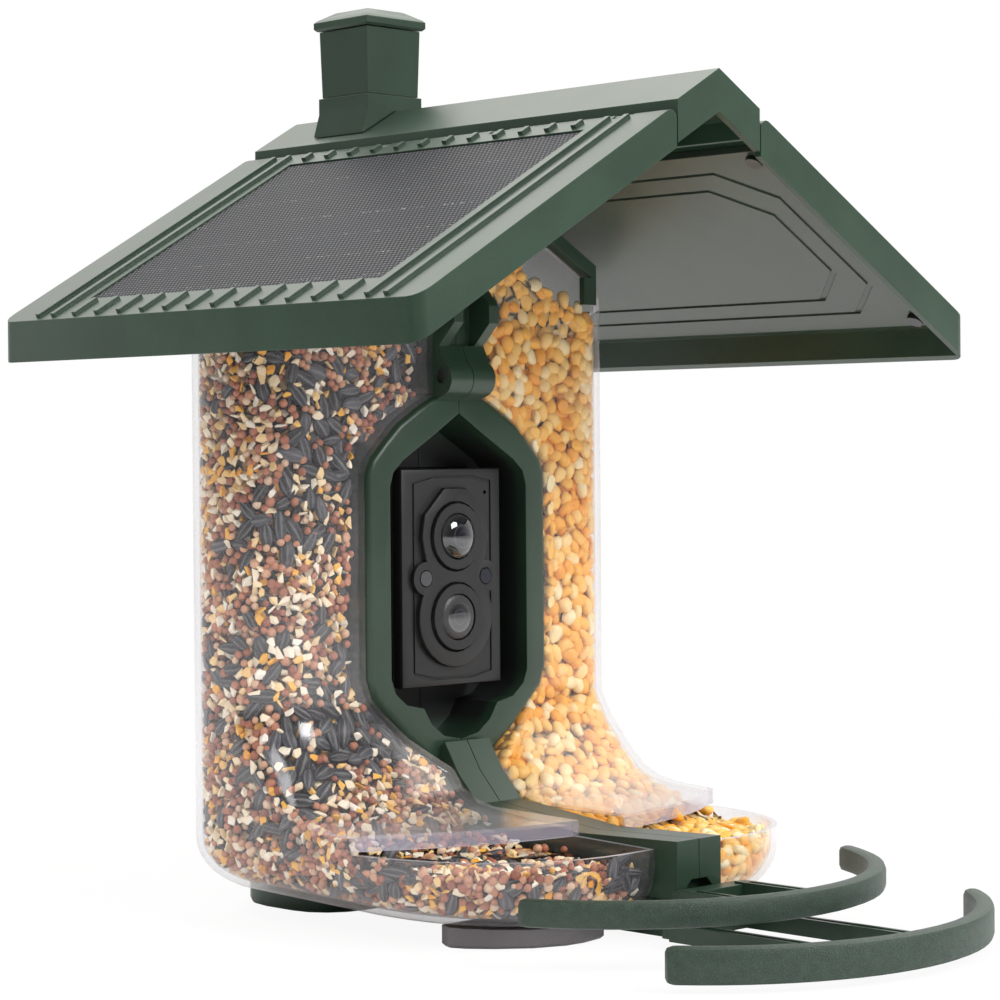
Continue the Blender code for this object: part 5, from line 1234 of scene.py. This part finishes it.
@dataclass
class SeedFill:
    """All the seed in one hopper: a bed inside, and loose seed over it wherever it shows."""

    hopper: Hopper
    mix: Mix
    forms: SeedForms
    cell: float = 6.0 * MM
    layers: tuple[tuple[float, int], ...] = ((0.0, 40000), (2.4 * MM, 16000))
    throw_seed: int = 11
    lay_seed: int = 31
    heap_run: float = 60.0 * MM
    heap_middle: float = 44.0 * MM
    heap_half: float = 40.0 * MM
    throat_reach: float = 34 * MM
    throat_slope: float = 1.6
    hidden_x: float = 14 * MM
    drift_scale: Point = (42.0, 42.0, 34.0)
    chip_scale: Point = (60.0, 60.0, 50.0)
    drift: float = 0.34
    fewest_hulls: float = 0.10
    most_hulls: float = 0.92
    lean: float = 0.30
    sizes: tuple[float, float] = (0.84, 1.12)
    slack: float = 0.1 * MM
    wall_reach: float = 8 * MM
    wall_gap: float = 0.05 * MM
    tolerance: float = 0.02 * MM
    bed_depth: float = 4.4 * MM
    bed_gap: float = 3.4 * MM
    bed_reach: float = 9 * MM
    bed_margin: float = 1.2 * MM

    def level(self, x: float, y: float) -> float:
        """Height of the seed's top over the tray.

        Args:
            x: Distance from the feeder's middle.
            y: Y of the place.

        Returns:
            Its Z.
        """
        s = self.hopper.shape
        share = min(1.0, max(0.0, (y - (s.tray_y - s.tray_reach)) / self.heap_run))
        across = 1.0 - ((x - self.heap_middle) / self.heap_half) ** 2
        bump = 1.0 * MM * noise.noise(Vector((x * 110, y * 110, 3.0 + self.hopper.side.value)))
        return self.mix.tray_level + self.mix.tray_heap * (0.25 + 0.75 * share) * max(across, 0.0) + bump

    def lower(self, piece: bpy.types.Object) -> None:
        """Sinks the inside solid's tops to the seed's level.

        Args:
            piece: The solid.
        """
        s = self.hopper.shape
        for vert in piece.data.vertices:
            x, y, z = abs(vert.co.x), vert.co.y, vert.co.z
            if y < s.front_y - 2 * MM:
                rise = max(0.0, y - s.front_y + self.throat_reach) * self.throat_slope
                vert.co.z = min(z, max(self.level(x, y), s.floor(y) + 3 * MM) + rise)
            below = self.mix.below_mouth - self.mix.outer_rise * (x - s.inner_x) / (s.outer_x - s.inner_x)
            cap = s.top(x) - below + 1.6 * MM * noise.noise(Vector((x * 90, y * 90, 9.0)))
            if z > cap:
                vert.co.z = cap

    def surface(self, piece: bpy.types.Object) -> Surface:
        """Triangles of a solid.

        Args:
            piece: The solid.

        Returns:
            Corner points by triangle, unit normals and areas.
        """
        mesh = piece.data
        mesh.calc_loop_triangles()
        points = np.zeros(len(mesh.vertices) * 3)
        mesh.vertices.foreach_get("co", points)
        corners = np.zeros(len(mesh.loop_triangles) * 3, dtype=np.int64)
        mesh.loop_triangles.foreach_get("vertices", corners)
        tris = points.reshape(-1, 3)[corners.reshape(-1, 3)]
        cross = np.cross(tris[:, 1] - tris[:, 0], tris[:, 2] - tris[:, 0])
        size = np.linalg.norm(cross, axis=1)
        return tris, cross / np.maximum(size, 1e-12)[:, None], size / 2

    def scatter(self, surface: Surface, tries: int, seed: int) -> Placed:
        """Throws seed at a surface and keeps what finds room.

        Args:
            surface: Triangles, normals and areas.
            tries: Number thrown.
            seed: Seed of the random source.

        Returns:
            Kind, place and outward normal of each.
        """
        tris, normals, areas = surface
        random = np.random.default_rng(seed)
        offsets = list(product((-1, 0, 1), repeat=3))
        side = self.hopper.side.value
        hidden = (normals[:, 0] * side < -0.7) & (tris[:, :, 0].mean(axis=1) * side < self.hidden_x)
        chance = np.where(hidden, 0.0, areas)
        picks = random.choice(len(areas), size=tries, p=chance / chance.sum())
        a, b = random.random(tries), random.random(tries)
        flip = a + b > 1
        a[flip], b[flip] = 1 - a[flip], 1 - b[flip]
        corners = tris[picks]
        first, second, third = corners[:, 0], corners[:, 1], corners[:, 2]
        places = first + a[:, None] * (second - first) + b[:, None] * (third - first)
        rolls = random.random(tries)
        grid: dict[tuple[int, ...], list[tuple[np.ndarray, float]]] = {}
        kept = []
        for index, place in enumerate(places):
            kind = self.choose(place, rolls[index])
            reach = RADII[kind]
            key = tuple(int(c) for c in np.floor(place / self.cell))
            near = (item for step in offsets for item in grid.get(tuple(k + o for k, o in zip(key, step)), ()))
            if all(self.apart(place - other, (reach + radius) * self.mix.spacing) for other, radius in near):
                grid.setdefault(key, []).append((place, reach))
                kept.append((kind, place, normals[picks[index]]))
        return kept

    def apart(self, way: np.ndarray, gap: float) -> bool:
        """Whether a way between two seeds is at least as long as a gap."""
        return way[0] * way[0] + way[1] * way[1] + way[2] * way[2] >= gap * gap

    def choose(self, place: np.ndarray, roll: float) -> Seed:
        """Kind of seed at a place: the dark hulls gather in drifts, as poured seed does.

        Args:
            place: The place.
            roll: A random number from 0 to 1.

        Returns:
            The kind.
        """
        kinds, shares = zip(*self.mix.kinds)
        if len(kinds) == 1:
            return kinds[0]
        drift = noise.noise(Vector(place * self.drift_scale)) * 2.6
        hulls = min(self.most_hulls, max(self.fewest_hulls, shares[0] + drift * self.drift))
        if roll < hulls:
            return kinds[0]
        rest = (roll - hulls) / (1 - hulls)
        second = noise.noise(Vector(place * self.chip_scale + (5.0, 0.0, 0.0)))
        return kinds[1] if rest < shares[1] / (shares[1] + shares[2]) + second * 0.4 else kinds[2]

    def lay(self, kept: Placed, depth: float, tree: BVHTree, seed: int) -> Laid:
        """Turns kept places into meshes, each seed against the wall and inside it.

        Args:
            kept: Kind, place and normal of each.
            depth: How far behind the wall they lie.
            tree: The hopper's inner surface.
            seed: Seed of the random source.

        Returns:
            Points, faces and grain by kind.
        """
        random = np.random.default_rng(seed)
        made: Laid = {}
        for kind, place, normal in kept:
            forms = self.forms.forms[kind]
            verts, faces, grain = forms[random.integers(len(forms))]
            lean = normal + random.normal(scale=self.lean, size=3)
            lean /= np.linalg.norm(lean)
            way = random.normal(size=3)
            way -= lean * (way @ lean)
            way /= np.linalg.norm(way)
            turn = np.column_stack([way, np.cross(lean, way), lean])
            scale = random.uniform(*self.sizes)
            body = verts @ turn.T * scale
            body = body + place - normal * (float((body @ normal).max()) + depth + self.slack)
            for _ in range(2):
                body = self.pushed_in(body, tree)
            if self.stands_out(body, tree):
                continue
            points, polygons, marks = made.setdefault(kind, ([], [], []))
            start = points[-1][0] + len(points[-1][1]) if points else 0
            points.append((start, body))
            polygons.extend([tuple(start + i for i in f) for f in faces])
            marks.append(np.column_stack([np.full(len(body), random.random()), grain]))
        return {k: ([b for _, b in p], f, g) for k, (p, f, g) in made.items()}

    def past_wall(self, point: Vector, tree: BVHTree) -> tuple[float, Vector, float]:
        """Where a point lies by the hopper's inner surface.

        Args:
            point: The point.
            tree: The surface.

        Returns:
            How far it lies past the nearest face, the face's normal, and the distance to it.
        """
        spot, way, _, _ = tree.find_nearest(point)
        return (point - spot).dot(way), way, (point - spot).length

    def pushed_in(self, body: np.ndarray, tree: BVHTree) -> np.ndarray:
        """Moves any point of a seed that would stand in the wall back inside it.

        Args:
            body: Points of the seed.
            tree: The hopper's inner surface.

        Returns:
            The points.
        """
        near, _, _, distance = tree.find_nearest(Vector(body.mean(axis=0)))
        if near is None or distance > self.wall_reach:
            return body
        for row in body:
            past, way, _ = self.past_wall(Vector(row), tree)
            if past > -self.wall_gap:
                row -= np.array(way) * (past + self.wall_gap)
        return body

    def past_walls(self, points: np.ndarray, gap: float) -> np.ndarray:
        """Marks the points that lie past the walls, or nearer to them than a gap.

        Args:
            points: Points in metres.
            gap: The least distance to the outer faces of the walls.

        Returns:
            One mark by point.
        """
        s = self.hopper.shape
        x, y, z = np.abs(points[:, 0]), points[:, 1], points[:, 2]
        heights, reaches = [h * MM for h, _ in s.ring], [r * MM for _, r in s.ring]
        notch = np.interp(z, heights, reaches)
        beside = (z > heights[0]) & (z < heights[-1]) & (y < s.inner_ends[0]) & (x < notch + s.ring_gap + gap)
        above_sweep = (z > s.sweep_top + 4 * MM) & (y < s.front_y + gap)
        return beside | above_sweep | (x > s.outer_x - gap) | (x < s.inner_x + gap) | (y > s.back_y - gap)

    def stands_out(self, body: np.ndarray, tree: BVHTree) -> bool:
        """Whether any point of a seed is still in the wall or past it.

        Args:
            body: Points of the seed.
            tree: The hopper's inner surface.

        Returns:
            True where one is.
        """
        if self.past_walls(body, self.hopper.shape.wall).any():
            return True
        return any(self.past_wall(Vector(row), tree)[0] > self.tolerance for row in body)

    def trim_bed(self, bed: bpy.types.Object, tree: BVHTree) -> None:
        """Draws the bed in behind the loose seed and takes off what still lies near a wall.

        Args:
            bed: The bed.
            tree: The hopper's inner surface.
        """
        for _ in range(2):
            for vert in bed.data.vertices:
                past, way, distance = self.past_wall(vert.co, tree)
                if past > -self.bed_gap and distance < self.bed_reach:
                    vert.co -= way * (past + self.bed_gap)
        points = np.zeros(len(bed.data.vertices) * 3)
        bed.data.vertices.foreach_get("co", points)
        out = self.past_walls(points.reshape(-1, 3), self.hopper.shape.wall + self.bed_margin)
        bm = bmesh.new()
        bm.from_mesh(bed.data)
        bm.verts.ensure_lookup_table()
        bmesh.ops.delete(bm, geom=[bm.verts[i] for i in np.nonzero(out)[0]], context="VERTS")
        bm.to_mesh(bed.data)
        bm.free()

    def build(self) -> list[bpy.types.Object]:
        """Makes the bed and the loose seed.

        Returns:
            The pieces.
        """
        inside = self.hopper.inside()
        bm = bmesh.new()
        bm.from_mesh(inside.data)
        bmesh.ops.triangulate(bm, faces=bm.faces)
        tree = BVHTree.FromBMesh(bm)
        bm.free()
        self.lower(inside)
        surface = self.surface(inside)
        word = self.hopper.side.word
        pieces = []
        layers: list[Laid] = []
        for index, (depth, tries) in enumerate(self.layers):
            kept = self.scatter(surface, tries, self.throw_seed + index + self.hopper.side.value)
            layers.append(self.lay(kept, depth, tree, self.lay_seed + index))
        for kind, _ in self.mix.kinds:
            for index, layer in enumerate(layers):
                if kind not in layer:
                    continue
                points, faces, grain = layer[kind]
                name = f"{word}_{kind.value}_seed_{index + 1}"
                piece = add_mesh(name, np.vstack(points), faces, [SKINS[kind].make()])
                mark = piece.data.attributes.new("grain", "FLOAT_VECTOR", "POINT")
                mark.data.foreach_set("vector", np.vstack(grain).astype(np.float32).ravel())
                piece.data.polygons.foreach_set("use_smooth", [kind is not Seed.CHIP] * len(faces))
                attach(piece, "feeder")
                pieces.append(piece)
        inside.name = inside.data.name = f"{word}_seed_bed"
        drawn_in(inside, self.bed_depth)
        self.trim_bed(inside, tree)
        inside.data.materials.clear()
        inside.data.materials.append(self.mix.bed.make())
        inside.data.polygons.foreach_set("material_index", [0] * len(inside.data.polygons))
        soften(inside, 40.0, weld=False)
        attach(inside, "feeder")
        pieces.append(inside)
        return pieces


MIXED = Mix(
    kinds=((Seed.SUNFLOWER, 0.29), (Seed.MILO, 0.34), (Seed.CHIP, 0.37)),
    # The bed's colours are the seeds' colours made darker as painted shade.
    bed=SeedBed(
        "mixed_bed",
        ((0.0, (0.018, 0.018, 0.02)), (0.45, (0.20, 0.07, 0.04)), (0.7, (0.5, 0.36, 0.2)), (0.88, (0.5, 0.25, 0.05))),
        4.2 * MM,
    ),
    tray_level=22.3 * MM,
    tray_heap=4.0 * MM,
    below_mouth=11.0 * MM,
    outer_rise=2.0 * MM,
    spacing=0.80,
)
CORN = Mix(
    kinds=((Seed.KERNEL, 1.0),),
    # The bed's colours are the kernels' colours made darker as painted shade.
    bed=SeedBed("corn_bed", ((0.0, (0.62, 0.34, 0.08)), (0.5, (0.66, 0.42, 0.15)), (0.8, (0.7, 0.55, 0.3))), 5.5 * MM),
    tray_level=22.6 * MM,
    tray_heap=6.5 * MM,
    below_mouth=13.5 * MM,
    outer_rise=5.5 * MM,
    spacing=0.80,
)


# Parts that keep their CAD shapes


@dataclass
class Roof:
    """The two hinged slopes with their solar panels and liners, the ridge and the chimney."""

    pitch: float = 0.52045

    def dress(self) -> list[str]:
        """Finishes every node of the roof.

        Returns:
            The nodes' names.
        """
        film = SolarFilm("solar_film", self.pitch)
        plan = {}
        for word in (side.word for side in Side):
            plan[f"{word}_roof_panel"] = GREEN_PLASTIC
            plan[f"{word}_solar_panel"] = film
            plan[f"{word}_roof_liner"] = LINER_PLASTIC
            plan[f"{word}_hinge_pin"] = STEEL
            plan.update({f"{word}_liner_screw_{i}": DARK_STEEL for i in range(1, 5)})
        for node in ("ridge_cap", "ridge_beam", "chimney_base", "chimney_body", "chimney_cap"):
            plan[node] = GREEN_PLASTIC
        return dress(plan)


@dataclass
class Body:
    """The moulded frame, its bracket, its feet and its screws."""

    def dress(self) -> list[str]:
        """Finishes every node of the body.

        Returns:
            The nodes' names.
        """
        plan = {
            "left_frame_half": PAINTED_POCKET_SHADE_PLASTIC,
            "right_frame_half": PAINTED_POCKET_SHADE_PLASTIC,
            "top_bracket": GREEN_PLASTIC,
            "rear_foot": GREEN_PLASTIC,
            "left_front_foot": FOOT_PLASTIC,
            "right_front_foot": FOOT_PLASTIC,
            "perch_socket": GREEN_PLASTIC,
            **{f"frame_screw_{i}": DARK_STEEL for i in range(1, 4)},
        }
        return dress(plan, 38.0)


@dataclass
class Perch:
    """The slide-in perch with its two curved bars."""

    def dress(self) -> list[str]:
        """Finishes every node of the perch.

        Returns:
            The nodes' names.
        """
        plan = {"perch_frame": GREEN_PLASTIC, "perch_inner_bar": PERCH_PLASTIC, "perch_outer_bar": PERCH_PLASTIC}
        return dress(plan)


@dataclass
class CameraModule:
    """The camera that slides into the frame: housing, face, two lenses, sensor and light."""

    upper: Point = (0.0, -30.0 * MM, 122.8 * MM)
    lower: Point = (0.0, -30.0 * MM, 95.7 * MM)
    lens_radius: float = 7.6 * MM

    def dress(self) -> list[str]:
        """Finishes every node of the camera.

        Returns:
            The nodes' names.
        """
        plan = {
            "camera_face_plate": BLACK_PLASTIC,
            "camera_seal": BLACK_RUBBER,
            "camera_housing": BLACK_PLASTIC,
            "camera_rear_cover": BLACK_PLASTIC,
            "camera_port_plug": BLACK_RUBBER,
            "upper_lens_ring": BLACK_PLASTIC,
            "lower_lens_ring": BLACK_PLASTIC,
            "upper_lens_barrel": BLACK_PLASTIC,
            "lower_lens_barrel": BLACK_PLASTIC,
            "upper_lens": CoatedLens("upper_lens_glass", self.upper, self.lens_radius),
            "lower_lens": CoatedLens("lower_lens_glass", self.lower, self.lens_radius, 0.66),
            "led_window": MouldedPlastic("led_diffuser", (0.055, 0.055, 0.06), 0.25, edge_highlight=0.0),
            "sensor_window": MouldedPlastic("sensor_glass", (0.006, 0.006, 0.016), 0.08, edge_highlight=0.0),
            "circuit_board": BOARD,
            "battery": BATTERY,
            "power_button": BLACK_PLASTIC,
            **{f"camera_screw_{i}": STEEL for i in range(1, 5)},
        }
        return dress(plan)


# Studio


@dataclass
class Studio:
    """Camera, floor, world and lamps."""

    place: Point = (-654.52 * MM, -716.75 * MM, 151.55 * MM)
    azimuth: float = radians(-44.62)
    pitch: float = radians(-1.01)
    roll: float = radians(-0.43)
    lens: float = 101.48
    sensor: float = 36.0
    floor_drop: float = 0.2 * MM
    floor_half: float = 4.0
    away: Point = (0.70, 0.71, 0.12)
    mirrored_front: Colour = (0.10, 0.10, 0.10)
    mirrored_back: Colour = (0.95, 0.95, 0.94)
    mirrored_sky: Colour = (3.4, 3.4, 3.2)
    light_low: Colour = (0.74, 0.74, 0.74)
    light_high: Colour = (0.98, 0.98, 0.97)
    aim: Point = (0.0, -0.04, 0.13)
    boxes: tuple[tuple[str, Point, tuple[float, float], float], ...] = (
        ("key_box", (-0.95, -0.25, 1.15), (0.7, 0.5), 5.0),
        ("fill_box", (0.25, -1.15, 0.85), (0.6, 0.5), 12.0),
        ("top_box", (0.2, 0.4, 1.4), (0.9, 0.9), 3.0),
    )

    def camera(self) -> None:
        """Places the camera where it looks as the photograph does."""
        forward = Vector((-sin(self.azimuth) * cos(self.pitch), cos(self.azimuth) * cos(self.pitch), sin(self.pitch)))
        right = Vector((cos(self.azimuth), sin(self.azimuth), 0.0))
        up = right.cross(forward)
        turned_right = cos(self.roll) * right + sin(self.roll) * up
        turned_up = -sin(self.roll) * right + cos(self.roll) * up
        data = bpy.data.cameras.new("studio_camera")
        data.lens = self.lens
        data.sensor_width = self.sensor
        data.clip_start = 0.01
        rig = add_object("studio_camera", data)
        rig.matrix_world = Matrix((turned_right, turned_up, -forward)).transposed().to_4x4()
        rig.location = self.place
        bpy.context.scene.camera = rig

    def floor(self) -> None:
        """Lays the floor."""
        bm = bmesh.new()
        bmesh.ops.create_grid(bm, x_segments=8, y_segments=8, size=self.floor_half)
        mesh = bpy.data.meshes.new("studio_floor")
        bm.to_mesh(mesh)
        bm.free()
        mesh.materials.append(PaleFloor().make())
        floor = add_object("studio_floor", mesh)
        floor.location.z = -self.floor_drop

    def world(self) -> None:
        """Lights the room: bright behind the feeder, dimmer towards the camera, white to look at."""
        world = bpy.data.worlds.new("studio")
        bpy.context.scene.world = world
        world.use_nodes = True
        world.node_tree.nodes.clear()
        shade = Shade(world.node_tree)
        way = shade.node("ShaderNodeTexCoord", {}, {}, "Generated")
        dot = {"operation": "DOT_PRODUCT"}
        behind = shade.node("ShaderNodeVectorMath", dot, {0: way, 1: self.away}, "Value")
        _, _, height = shade.split(way)
        tone = shade.mix(behind.step(-0.35, 0.75), self.mirrored_front, self.mirrored_back)
        tone = shade.mix(height.step(0.35, 0.8) * behind.step(-0.1, 0.5), tone, self.mirrored_sky)
        around = shade.mix(height.step(-0.2, 0.9), self.light_low, self.light_high)
        mirrored, light, white = (
            shade.node("ShaderNodeBackground", {}, {"Color": colour, "Strength": strength})
            for colour, strength in ((tone, 1.0), (around, 0.95), (WHITE, 1.0))
        )
        room = shade.blend(shade.ray("Glossy"), light, mirrored)
        seen = shade.ray("Camera")
        shade.end(shade.blend(seen.math("MAXIMUM", seen, shade.ray("Transmission")), room, white))

    def lamp(self, name: str, place: Point, size: tuple[float, float], power: float) -> None:
        """Adds one soft box that points at the feeder.

        Args:
            name: Its name.
            place: Where it stands.
            size: Its width and height.
            power: Its power in watts.
        """
        data = bpy.data.lights.new(name, "AREA")
        data.shape = "RECTANGLE"
        data.size, data.size_y = size
        data.energy = power
        lamp = add_object(name, data)
        lamp.location = place
        lamp.rotation_euler = (Vector(self.aim) - Vector(place)).to_track_quat("-Z", "Y").to_euler()

    def build(self) -> None:
        """Sets up the whole studio."""
        self.camera()
        self.floor()
        self.world()
        for box in self.boxes:
            self.lamp(*box)
        bpy.context.scene.view_settings.view_transform = "Standard"


def main() -> None:
    """Builds the looks of the feeder in order and reports each piece."""
    logging.basicConfig(level=logging.INFO, format="%(name)s: %(message)s")
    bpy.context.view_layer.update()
    Studio().build()
    for part in (Roof(), Body(), Perch(), CameraModule()):
        LOG.info("%s: %s", type(part).__name__, ", ".join(part.dress()))
    forms = SeedForms()
    for side, mix in ((Side.LEFT, MIXED), (Side.RIGHT, CORN)):
        hopper = Hopper(side)
        LOG.info("hopper: %s", hopper.build().name)
        for piece in SeedFill(hopper, mix, forms).build():
            LOG.info("seed: %s with %d faces", piece.name, len(piece.data.polygons))
    bpy.context.view_layer.update()


if __name__ == "__main__":
    main()
